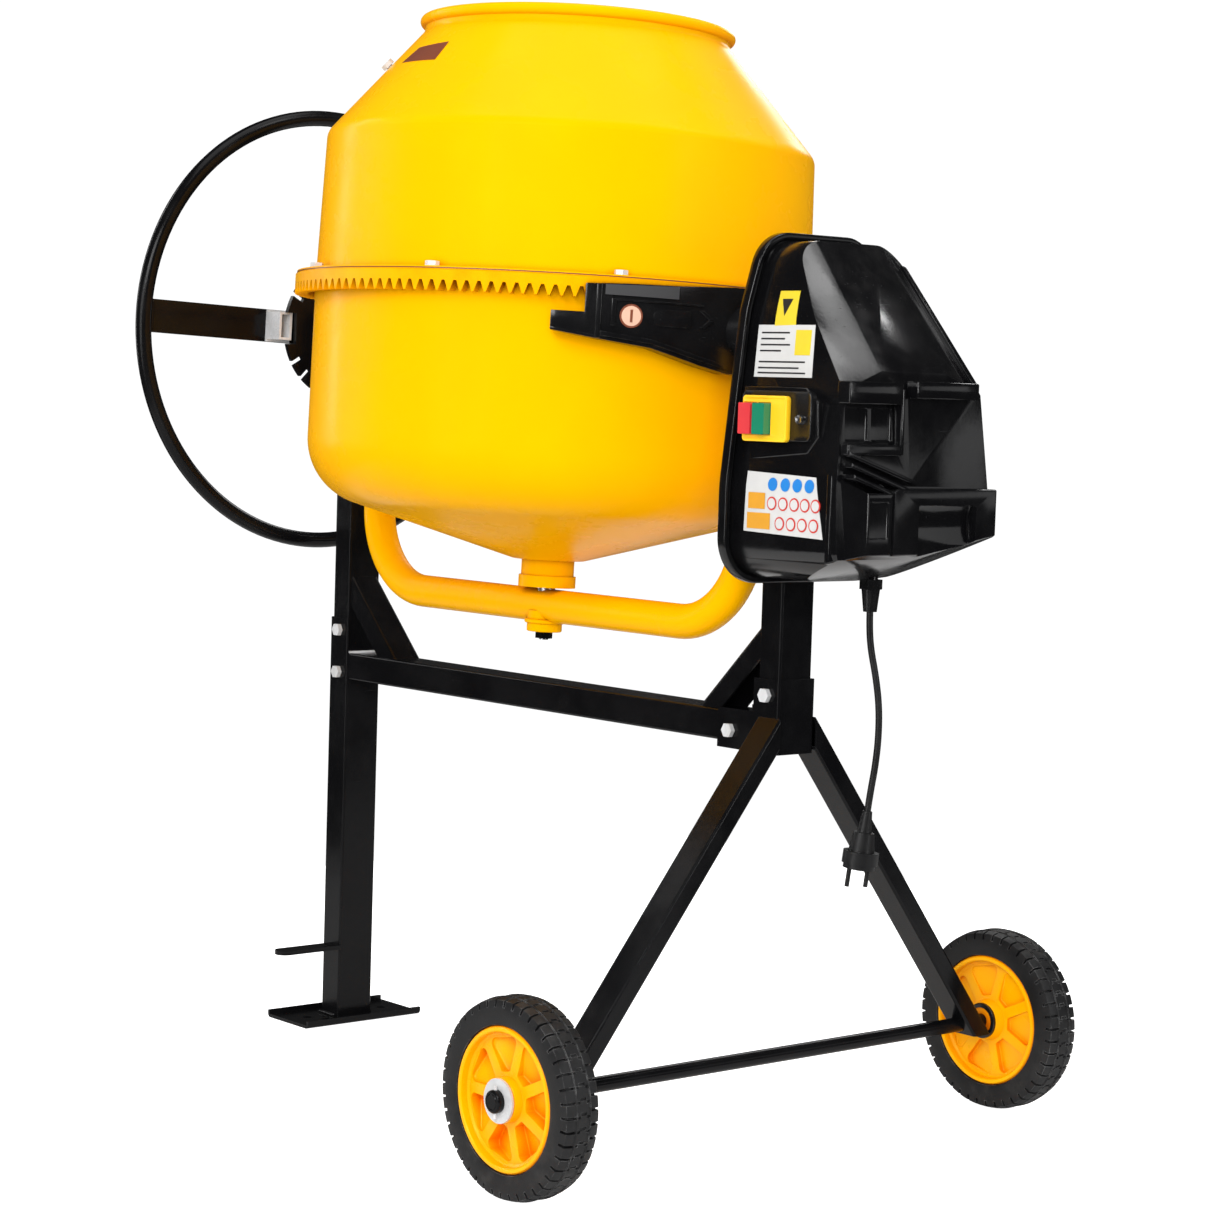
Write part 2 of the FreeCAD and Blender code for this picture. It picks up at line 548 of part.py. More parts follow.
def make_paddles():
    """Two mixing paddles, each bolted to the shell at both ends and twisted between them."""
    low_z, high_z, twist = 104.0, 286.0, 65.0
    thick, width = 4.0, 62.0
    wall_inner = DRUM_R - 4.5
    blades, bolts = [], []
    for first in (-4.2, 175.8):
        wires = []
        stations = 6
        for index in range(stations + 1):
            share = index / stations
            height = -70.0 + (high_z + 70.0) * share
            angle = first - 22.0 + (twist + 22.0) * share
            limit = wall_inner if height < SHOULDER[1] - 12 else cone_radius(height) - 2.0
            limit = min(limit - 9.0, wall_inner - 9.0)
            inner = limit - width * (0.75 + 0.5 * math.sin(math.pi * share))
            tangent = math.degrees(thick / 2 / limit)
            section = ((inner, -tangent), (limit, -tangent), (limit, tangent), (inner, tangent))
            corners = [cylinder_point(radius, angle + turn, height) for radius, turn in section]
            wires.append(Part.makePolygon(corners + corners[:1]))
        blade = Part.makeLoft(wires, True, True)
        anchors = []
        for height, outward_z in ((low_z, 0.0), (high_z - 6.0, math.cos(math.radians(49.3)))):
            share = (height + 70.0) / (high_z + 70.0)
            angle = first - 22.0 + (twist + 22.0) * share
            flat = math.sqrt(1 - outward_z ** 2)
            outward = cylinder_point(flat, angle, outward_z)
            if outward_z:
                inside = cylinder_point(cone_radius(height), angle, height)
            else:
                inside = cylinder_point(wall_inner + 0.9, angle, height)
            foot = rod(9.0, tuple(inside - outward * 26), tuple(inside - outward * 0.35))
            anchors.append((inside, outward))
            blade = blade.fuse(foot)
        blade = blade.removeSplitter()
        holes = []
        for inside, outward in anchors:
            head = inside + outward * 3.6
            screw = bolt(4.0, tuple(head), tuple(head - outward * 20), nut=False)[0]
            bolts.append(screw)
            holes.append(screw)
        blades.append(blade.cut(group(holes)))
    TILTING["paddles"] = group(blades)
    TILTING["drum_bolts"] = group(TILTING["drum_bolts"] + bolts)
    TILTING["drum_cone"] = TILTING["drum_cone"].cut(group(bolts))


def make_hub():
    """Drum hub with its ball bearings and inner cap."""
    bore, bearing_r = 10.0 + RUNNING_GAP, 21.0
    hub = fuse([rod(30.0, (0, 0, BOTTOM_Z - 18), (0, 0, BOTTOM_Z)),
                rod(32.5, (0, 0, BOTTOM_Z - 31), (0, 0, BOTTOM_Z - 18))])
    hub = hub.cut(rod(bearing_r, (0, 0, BOTTOM_Z - 32), (0, 0, BOTTOM_Z + 1)))
    TILTING["drum_hub"] = hub
    bearings = [pipe(bearing_r, bore, (0, 0, BOTTOM_Z - low - 12), (0, 0, BOTTOM_Z - low))
                for low in (2.0, 17.0)]
    TILTING["hub_bearings"] = group(bearings)
    cap = rod(34.0, (0, 0, BOTTOM_Z + SHELL_WALL), (0, 0, -224.0))
    cap = cap.makeFillet(8.0, [e for e in cap.Edges if abs(e.CenterOfMass.z + 224.0) < 0.1 and e.Length > 100])
    TILTING["hub_cap"] = cap.cut(rod(26.0, (0, 0, BOTTOM_Z), (0, 0, -230.0)))


# ---------------------------------------------------------------- handwheel
def make_handwheel():
    """Handwheel that rocks on a pin so that its catch leaves the notched disc."""
    ring = Part.makeTorus(HANDWHEEL_R, HANDWHEEL_TUBE_R, Vector(HANDWHEEL_X, 0, 0), X_AXIS)
    hollow = Part.makeTorus(HANDWHEEL_R, HANDWHEEL_TUBE_R - 1.5, Vector(HANDWHEEL_X, 0, 0), X_AXIS)
    TILTING["handwheel_ring"] = ring.cut(hollow)
    bar_x = (-470.0, -465.0)
    bar = box(bar_x, (-HANDWHEEL_R, HANDWHEEL_R), (-20, 20)).cut(ring)
    ends = pipe(400.0, HANDWHEEL_R - 2, (-490, 0, 0), (-440, 0, 0))
    TILTING["handwheel_bar"] = bar.cut(ends)

    plates = [box((bar_x[1], -440.0), (-17, 17), (low, low + 4))
              for low in (FOOT_SHAFT_R + 0.4, -FOOT_SHAFT_R - 4.4)]
    pin = rod(5.0, (ROCK_PIN_X, 0, -24), (ROCK_PIN_X, 0, 24))
    pin = fuse([pin, rod(7.5, (ROCK_PIN_X, 0, FOOT_SHAFT_R + 4.4), (ROCK_PIN_X, 0, FOOT_SHAFT_R + 8))])
    TILTING["handwheel_clevis"] = group([plate.cut(pin) for plate in plates])
    TILTING["rock_pin"] = pin

    seat = box((bar_x[1], bar_x[1] + 3), (-90, -56), (-19.5, 19.5))
    tongue = box((bar_x[1] + 3, DISC_X[0] - 1.2), (-90, -72), (-17, 17))
    tongue = tongue.cut(box((bar_x[1] + 6, DISC_X[0]), (-87, -75), (-14, 14)))
    TILTING["lock_catch"] = fuse([seat, tongue])


# ---------------------------------------------------------------- drive
def pinion_outline():
    """Closed polygon of the pinion's teeth in the YZ plane, one tooth centred on +Z."""
    pitch_r = PINION_TEETH * MODULE / 2
    base_r = pitch_r * math.cos(math.radians(20.0))
    tip_r, root_r = pitch_r + 3.8, pitch_r - 6.0

    def involute(angle):
        return math.tan(angle) - angle

    half_pitch = TOOTH_THICK / 2 / pitch_r + involute(math.radians(20.0))
    flank = [(root_r, half_pitch)]
    for step in range(5):
        radius = base_r + (tip_r - base_r) * step / 4
        flank.append((radius, half_pitch - involute(math.acos(min(1.0, base_r / radius)))))
    points = []
    for tooth in range(PINION_TEETH):
        centre = 2 * math.pi * tooth / PINION_TEETH
        for side, order in ((-1, flank), (1, flank[::-1])):
            for radius, half in order:
                angle = centre + side * half
                points.append(Vector(0, radius * math.sin(angle), radius * math.cos(angle)))
    return Part.makePolygon(points + points[:1])


def make_pinion():
    """Pinion, its shaft and the large belt pulley."""
    shaft = rod(SHAFT_R, (283.5, 0, 0), (PULLEY_X[1] + 5, 0, 0))
    TILTING["pinion_shaft"] = shaft
    pinion = Part.Face(pinion_outline()).extrude(Vector(15.0, 0, 0))
    pinion.translate(Vector(286.4, 0, 0))
    TILTING["pinion"] = pinion.cut(shaft)

    wheel = rod(PULLEY_R, (PULLEY_X[0], 0, 0), (PULLEY_X[1], 0, 0))
    for low, high in ((PULLEY_X[0] - 1, PULLEY_X[0] + 7), (PULLEY_X[1] - 7, PULLEY_X[1] + 1)):
        wheel = wheel.cut(pipe(PULLEY_R - 9, 20.0, (low, 0, 0), (high, 0, 0)))
    TILTING["large_pulley"] = wheel.cut(shaft)


def make_motor():
    """Motor, its rotor with the small pulley, the capacitor and the drive belt."""
    front, back = MOTOR_X
    body = rod(MOTOR_R - 3, (front, 0, MOTOR_Z), (back, 0, MOTOR_Z))
    fins = [pipe(MOTOR_R, MOTOR_R - 4, (x, 0, MOTOR_Z), (x + FIN_THICK, 0, MOTOR_Z))
            for x in (front + 10.0 + FIN_PITCH * index for index in range(FIN_COUNT))]
    legs = []
    for angle in (0.0, 180.0, 232.0, 308.0):
        y, z = 46.0 * math.cos(math.radians(angle)), MOTOR_Z + 46.0 * math.sin(math.radians(angle))
        legs.append(rod(6.0, (BACK_X + 3, y, z), (front + 2, y, z)))
    body = fuse([body] + fins + legs)
    body = body.cut(rod(44.0, (front + 8, 0, MOTOR_Z), (back - 8, 0, MOTOR_Z)))
    body = body.cut(rod(7.0 + RUNNING_GAP, (front - 1, 0, MOTOR_Z), (back - 7, 0, MOTOR_Z)))
    FIXED["motor"] = body
    stator = pipe(44.0, 27.0, (front + 24, 0, MOTOR_Z), (back - 24, 0, MOTOR_Z))
    FIXED["stator"] = stator

    shaft = rod(7.0, (PULLEY_X[0] - 2, 0, MOTOR_Z), (back - 10, 0, MOTOR_Z))
    core = rod(26.2, (front + 25, 0, MOTOR_Z), (back - 25, 0, MOTOR_Z))
    pulley_face = pipe(MOTOR_PULLEY_R, 7.0, (PULLEY_X[0], 0, MOTOR_Z), (PULLEY_X[1], 0, MOTOR_Z))
    FIXED["rotor"] = fuse([shaft, core])
    FIXED["motor_pulley"] = pulley_face

    FIXED["capacitor"] = fuse([rod(17.0, (455.0, -62.0, 640.0), (525.0, -62.0, 640.0)),
                               rod(12.0, (525.0, -62.0, 640.0), (531.0, -62.0, 640.0))])

    gap, thick = 0.35, 3.0
    height = PIVOT_Z - MOTOR_Z

    def loop(big, small):
        lean = math.asin((big - small) / height)
        cos, sin = math.cos(lean), math.sin(lean)
        top = [(big * cos, PIVOT_Z - big * sin), (0, PIVOT_Z + big), (-big * cos, PIVOT_Z - big * sin)]
        low = [(-small * cos, MOTOR_Z - small * sin), (0, MOTOR_Z - small),
               (small * cos, MOTOR_Z - small * sin)]
        top, low = ([Vector(0, y, z) for y, z in points] for points in (top, low))
        return Part.Wire([Part.Arc(*top).toShape(), Part.LineSegment(top[2], low[0]).toShape(),
                          Part.Arc(*low).toShape(), Part.LineSegment(low[2], top[0]).toShape()])

    length = PULLEY_X[1] - PULLEY_X[0] - 6.0
    outer = Part.Face(loop(PULLEY_R + gap + thick, MOTOR_PULLEY_R + gap + thick)).extrude(Vector(length, 0, 0))
    inner = Part.Face(loop(PULLEY_R + gap, MOTOR_PULLEY_R + gap)).extrude(Vector(length, 0, 0))
    belt = outer.cut(inner)
    belt.translate(Vector(PULLEY_X[0] + 3, 0, 0))
    FIXED["drive_belt"] = belt


# ---------------------------------------------------------------- housing
BACK_OUTLINE = [(118.0, 599.0, 48.0), (118.0, 700.0, 150.0), (98.0, 875.0, 120.0), (74.0, 955.0, 45.0)]
COVER_OUTLINE = [(108.0, 606.0, 40.0), (108.0, 700.0, 140.0), (90.0, 868.0, 110.0), (66.0, 946.0, 38.0)]


def plate_outline(half, inset=0.0):
    """Closed outline of the housing from its right half, shrunk by an inset."""
    middle = 780.0
    moved = [(y - inset, z + (inset if z < middle else -inset), max(4.0, r - inset)) for y, z, r in half]
    return rounded_outline(moved + [(-y, z, r) for y, z, r in reversed(moved)])


def outline_solid(half, inset, x):
    """The outline extruded between two X positions."""
    solid = Part.Face(plate_outline(half, inset)).extrude(Vector(x[1] - x[0], 0, 0))
    solid.translate(Vector(x[0], 0, 0))
    return solid


def hood(inset):
    """Solid outer or inner volume of the moulded hood."""
    side = [(BACK_X + 3, 606.0), (560.0, 606.0), (X_HIGH, 628.0), (X_HIGH, 700.0), (563.0, 712.0),
            (560.0, 806.0), (455.0, 946.0), (BACK_X + 3, 946.0)]
    if inset:
        side = [(BACK_X, 606.0 + inset), (560.0 - inset, 606.0 + inset), (X_HIGH - inset, 629.5),
                (X_HIGH - inset, 698.0), (563.0 - inset, 709.0), (560.0 - inset, 805.0),
                (455.0 - inset, 946.0 - inset), (BACK_X, 946.0 - inset)]
    points = [Vector(x, -120, z) for x, z in side]
    block = Part.Face(Part.makePolygon(points + points[:1])).extrude(Vector(0, 240, 0))
    return block.common(outline_solid(COVER_OUTLINE, inset, (BACK_X - 5, X_HIGH + 5)))


SWITCH_X, SWITCH_Z, SWITCH_Y = (428.0, 520.0), (738.0, 797.0), (-116.0, -100.0)
BUTTONS = {"red_button": (434.0, 451.0), "green_button": (454.0, 471.0)}
BUTTON_Z = (751.0, 782.0)


def make_housing():
    """Back plate, moulded cover, its screws, the switch and the cable gland."""
    plate = outline_solid(BACK_OUTLINE, 0.0, (BACK_X, BACK_X + 12))
    plate = plate.cut(outline_solid(BACK_OUTLINE, 3.0, (BACK_X + 3, BACK_X + 13)))
    plate = plate.cut(rod(TRUNNION_R + 3, (BACK_X - 1, 0, PIVOT_Z), (BACK_X + 4, 0, PIVOT_Z)))
    screw_spots = [(-88.0, 650.0), (88.0, 650.0), (-70.0, 880.0), (70.0, 880.0)]
    screws = [fuse([rod(2.5, (BACK_X, y, z), (BACK_X + 12, y, z)),
                    rod(4.5, (BACK_X - 2.5, y, z), (BACK_X, y, z))]) for y, z in screw_spots]
    FIXED["housing_screws"] = group(screws)
    FIXED["back_plate"] = plate.cut(group(screws))

    bosses = []
    for y, z in screw_spots:
        reach = sorted((y - math.copysign(6, y), math.copysign(125, y)))
        bosses.append(box((BACK_X + 3, BACK_X + 14), reach, (z - 6, z + 6)))
    bosses = [shape.common(hood(0.0)) for shape in bosses]
    cover = hood(0.0).cut(hood(COVER_WALL))
    cover = fuse([cover] + bosses).cut(group(screws))
    switch = box(SWITCH_X, SWITCH_Y, SWITCH_Z)
    switch = switch.makeFillet(6.0, [e for e in switch.Edges if abs(e.tangentAt(0).y) > 0.9])
    x, y = GLAND_AT
    cover = cover.cut(group([switch, rod(7.0, (x, y, 600), (x, y, 620))]))
    louvres = []
    for z in (640.0, 652.0, 664.0, 676.0):
        louvres.append(box((X_HIGH - 10, X_HIGH + 5), (20, 80), (z, z + 5)))
    FIXED["motor_cover"] = cover.cut(group(louvres)).removeSplitter()

    plate_y = SWITCH_Y[0]
    faceplate = box((SWITCH_X[0] + 3, SWITCH_X[0] + 60), (plate_y - 2.5, plate_y),
                    (SWITCH_Z[0] + 3, SWITCH_Z[1] - 5))
    faceplate = faceplate.makeFillet(3.0, [e for e in faceplate.Edges if abs(e.tangentAt(0).y) > 0.9])
    wells = []
    for name, (low, high) in BUTTONS.items():
        button = box((low, high), (plate_y - 9, plate_y + 5), BUTTON_Z)
        button = button.makeFillet(1.5, [e for e in button.Edges if abs(e.tangentAt(0).y) > 0.9])
        FIXED[name] = button
        wells.append(box((low - 0.6, high + 0.6), (plate_y - 10, plate_y + 10),
                         (BUTTON_Z[0] - 0.6, BUTTON_Z[1] + 0.6)))
    FIXED["switch_body"] = switch.cut(group(wells))
    FIXED["switch_plate"] = faceplate.cut(group(wells))

    low, high = GLAND_Z
    collar = hexagon(21.0, (x, y, high - 10), (x, y, high))
    taper = Part.makeCone(7.0, 9.5, high - 10 - low, Vector(x, y, low))
    stub = rod(7.0, (x, y, high), (x, y, high + 9))
    FIXED["cable_gland"] = fuse([collar, taper, stub])


def make_cord():
    """Short mains lead and its two-pin plug, hanging below the gland."""
    points = [Vector(*p) for p in CORD_ROUTE]
    radii = []
    for before, corner, after in zip(points, points[1:], points[2:]):
        turn = (corner - before).getAngle(after - corner)
        shorter = min((corner - before).Length, (after - corner).Length)
        radii.append(0.45 * shorter / math.tan(turn / 2))
    print("cord bend radii", [round(r) for r in radii])
    path = Part.Wire(rounded_path(points, radii))
    section = Part.Wire(Part.makeCircle(CORD_R, points[0], points[1] - points[0]))
    cord = path.makePipeShell([section], True, False)
    ratio = cord.Volume / (path.Length * math.pi * CORD_R ** 2)
    print("cord length %.1f, volume ratio %.4f" % (path.Length, ratio))
    FIXED["mains_cord"] = cord

    top = points[-1]
    down = (points[-1] - points[-2]).normalize()
    sleeve = Part.makeCone(5.0, 7.5, 22, top, down)
    grip = Part.makeCone(11.0, 13.5, 20, top + down * 22, down)
    flange = Part.makeCylinder(18.5, 13, top + down * 42, down)
    nose = Part.makeCylinder(16.5, 5, top + down * 55, down)
    across = Vector(0.648, 0.762, 0)
    pins = []
    for side in (-9.5, 9.5):
        pins.append(Part.makeCylinder(2.4, 22, top + down * 57 + across * side, down))
    FIXED["plug"] = fuse([sleeve, grip, flange, nose] + pins)


# ---------------------------------------------------------------- wheels
def wheel_profile(points):
    """Revolve (radius, y) points about the wheel axle."""
    corners = [Vector(WHEEL_X + r, y, WHEEL_R) for r, y in points]
    face = Part.Face(Part.makePolygon(corners + corners[:1]))
    return face.revolve(Vector(WHEEL_X, 0, WHEEL_R), Y_AXIS, 360)


def make_wheels():
    """Plastic wheels with solid rubber tyres, one at each end of the axle."""
    outer, inner = WHEEL_OUTER_Y, WHEEL_OUTER_Y - TYRE_WIDTH
    middle = (outer + inner) / 2
    bore = AXLE_R + RUNNING_GAP
    rim = wheel_profile([(bore, inner - 5), (19, inner - 5), (19, middle - 8), (60, middle - 3),
                         (60, inner + 3), (RIM_R, inner + 3), (RIM_R, outer - 3), (60, outer - 3),
                         (60, middle + 3), (22, middle + 8), (22, outer + 2), (bore, outer + 2)])
    ribs = []
    for index in range(7):
        rib = box((16.0, 62.0), (inner + 6, outer - 5), (-2.5, 2.5))
        rib.rotate(Vector(0, 0, 0), Y_AXIS, index * 360.0 / 7)
        rib.translate(Vector(WHEEL_X, 0, WHEEL_R))
        ribs.append(rib)
    rim = fuse([rim] + ribs)
    tyre = wheel_profile([(RIM_R, inner + 2), (RIM_R + 5, inner), (WHEEL_R - 10, inner),
                          (WHEEL_R - 2, inner + 5), (WHEEL_R, inner + 12), (WHEEL_R, outer - 12),
                          (WHEEL_R - 2, outer - 5), (WHEEL_R - 10, outer), (RIM_R + 5, outer),
                          (RIM_R, outer - 2)])
    for name, shape in (("far_rim", rim), ("far_tyre", tyre)):
        FIXED[name] = shape
        FIXED[name.replace("far", "near")] = mirrored_y(shape)


# ---------------------------------------------------------------- assembly
def main():
    """Build every piece, stand the drum at its resting tilt and write one file per node."""
    for build in (make_foot, make_posts, make_socket, make_wheel_legs, make_axle, make_frame_bolts, make_bearings,
                  make_yoke, make_gear_guard, make_drum_shells, make_ring_gear, make_paddles, make_hub,
                  make_handwheel, make_pinion, make_motor, make_housing, make_cord, make_wheels):
        build()
    nodes = dict(FIXED)
    for name, shape in TILTING.items():
        shape.translate(PIVOT)
        shape.rotate(PIVOT, X_AXIS, -REST_TILT)
        nodes[name] = shape
    os.makedirs("parts", exist_ok=True)
    for name, shape in sorted(nodes.items()):
        shape.translate(Vector(-X_MID, 0, 0))
        shape.exportStep("parts/%s.step" % name)
        bounds = shape.BoundBox
        print("%-18s solids %2d valid %s  X %7.1f %7.1f  Y %7.1f %7.1f  Z %7.1f %7.1f" % (
            name, len(shape.Solids), shape.isValid(), bounds.XMin, bounds.XMax, bounds.YMin, bounds.YMax,
            bounds.ZMin, bounds.ZMax))
    print(len(nodes), "nodes")


main()
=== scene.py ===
"""Tilting-drum concrete mixer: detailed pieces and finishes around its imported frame.

Sizes are in millimetres where a name says so and in metres everywhere else. Drawing
positions use X = 0 on the drum axis; ``spot`` and ``aloft`` turn them into the frame's
own coordinates.
"""
import json
import logging
import math
from dataclasses import dataclass, field
from enum import Enum
from typing import Callable, Iterable, Optional, Sequence

import bmesh
import bpy
from mathutils import Matrix, Vector


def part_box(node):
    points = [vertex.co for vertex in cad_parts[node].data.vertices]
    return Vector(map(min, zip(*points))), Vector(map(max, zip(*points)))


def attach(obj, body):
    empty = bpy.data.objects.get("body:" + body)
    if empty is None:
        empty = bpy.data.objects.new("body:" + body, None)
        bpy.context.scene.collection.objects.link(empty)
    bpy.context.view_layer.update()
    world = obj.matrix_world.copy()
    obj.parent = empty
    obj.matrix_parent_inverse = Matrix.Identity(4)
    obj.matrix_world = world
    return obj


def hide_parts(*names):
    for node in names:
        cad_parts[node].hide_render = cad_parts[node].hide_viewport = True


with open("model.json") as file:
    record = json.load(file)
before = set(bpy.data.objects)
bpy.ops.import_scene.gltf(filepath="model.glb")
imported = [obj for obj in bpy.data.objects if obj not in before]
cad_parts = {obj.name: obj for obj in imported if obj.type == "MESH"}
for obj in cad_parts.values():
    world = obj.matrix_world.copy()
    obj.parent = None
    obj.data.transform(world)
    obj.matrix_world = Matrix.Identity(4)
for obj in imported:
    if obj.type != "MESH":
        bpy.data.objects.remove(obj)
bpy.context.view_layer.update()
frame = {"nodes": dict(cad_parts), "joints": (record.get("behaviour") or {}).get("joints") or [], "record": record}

LOG = logging.getLogger("mixer")
logging.basicConfig(level=logging.INFO, format="%(name)s: %(message)s")

MM = 0.001
FULL_TURN = 2.0 * math.pi
MERGE_GAP = 0.05 * MM
FLAT_ENOUGH = math.radians(0.5)
Colour = tuple[float, float, float]
Flat = tuple[float, float]

TILT_JOINT = next(joint for joint in frame["joints"] if joint["name"] == "drum_tilt")
PIVOT = Vector(TILT_JOINT["pos_m"])
SPIN_JOINT = next(joint for joint in frame["joints"] if joint["name"] == "drum_spin")
DRUM_AXIS = Vector(SPIN_JOINT["axis"])
REST_LEAN = -math.atan2(DRUM_AXIS.y, DRUM_AXIS.z)


def spot(x: float, y: float, z: float) -> Vector:
    """Point of the standing parts, from drawing millimetres to the frame's metres."""
    return Vector((PIVOT.x + x * MM, y * MM, z * MM))


def aloft(x: float, y: float, z: float) -> Vector:
    """Point of the tilting parts, in millimetres from the pivot with the drum upright."""
    return PIVOT + Vector((x, y, z)) * MM


LEAN = Matrix.Translation(PIVOT) @ Matrix.Rotation(REST_LEAN, 4, "X") @ Matrix.Translation(-PIVOT)


# ------------------------------------------------------------------ drawing helpers
def rounded(points: Sequence[Flat], radii: Sequence[float], turn: float = 6.0) -> list[Flat]:
    """Round the inner corners of an open line.

    Args:
        points: Corner points of the line.
        radii: One radius for every corner between the two ends.
        turn: Degrees of arc between neighbouring points.

    Returns:
        The line's points, arcs included.
    """
    line = [tuple(points[0])]
    for before, corner, after, radius in zip(points, points[1:], points[2:], radii):
        p, c, n = Vector(before), Vector(corner), Vector(after)
        back, ahead = (p - c).normalized(), (n - c).normalized()
        half = back.angle(ahead) / 2
        if radius <= 0 or half > math.radians(89.5):
            line.append(tuple(c))
            continue
        start, end = c + back * (radius / math.tan(half)), c + ahead * (radius / math.tan(half))
        centre = c + (back + ahead).normalized() * (radius / math.sin(half))
        sweep = (start - centre).angle(end - centre)
        count = max(2, round(math.degrees(sweep) / turn))
        for step in range(count + 1):
            share = step / count
            first, last = math.sin((1 - share) * sweep), math.sin(share * sweep)
            line.append(tuple(centre + ((start - centre) * first + (end - centre) * last) / math.sin(sweep)))
    line.append(tuple(points[-1]))
    return line


def walled(points: Sequence[Flat], radii: Sequence[float], wall: float, turn: float = 6.0) -> tuple[list, list]:
    """Both faces of a bent sheet seen in section.

    Args:
        points: Corners of the outer face, with the sheet on its left.
        radii: Bend radii of the outer face.
        wall: Sheet thickness.
        turn: Degrees of arc between neighbouring points.

    Returns:
        The outer line and the inner line, both in the order of the corners.
    """
    flat = [Vector(p) for p in points]
    steps = [(b - a).normalized() for a, b in zip(flat, flat[1:])]
    sides = [Vector((-s.y, s.x)) for s in steps]
    inner, inner_radii = [flat[0] + sides[0] * wall], []
    for index, radius in enumerate(radii):
        first, second = sides[index], sides[index + 1]
        middle = (first + second).normalized()
        inner.append(flat[index + 1] + middle * (wall / middle.dot(first)))
        left = steps[index].x * steps[index + 1].y - steps[index].y * steps[index + 1].x > 0
        inner_radii.append(max(0.5, radius - wall) if left else radius + wall)
    inner.append(flat[-1] + sides[-1] * wall)
    return rounded(points, radii, turn), rounded([tuple(p) for p in inner], inner_radii, turn)


def closed_outline(corners: Sequence[tuple[float, float, float]], turn: float = 6.0) -> list[Flat]:
    """Rounded closed outline from (y, z, corner radius) triples, without repeating its first point."""
    flat = [(y, z) for y, z, _ in corners]
    start = ((flat[-1][0] + flat[0][0]) / 2, (flat[-1][1] + flat[0][1]) / 2)
    return rounded([start] + flat + [start], [r for _, _, r in corners], turn)[:-1]


def arc(centre: Flat, radius: float, start: float, sweep: float, count: int) -> list[Flat]:
    """Points along an arc, angles in degrees from the first axis."""
    return [(centre[0] + radius * math.cos(math.radians(start + sweep * k / count)),
             centre[1] + radius * math.sin(math.radians(start + sweep * k / count))) for k in range(count + 1)]


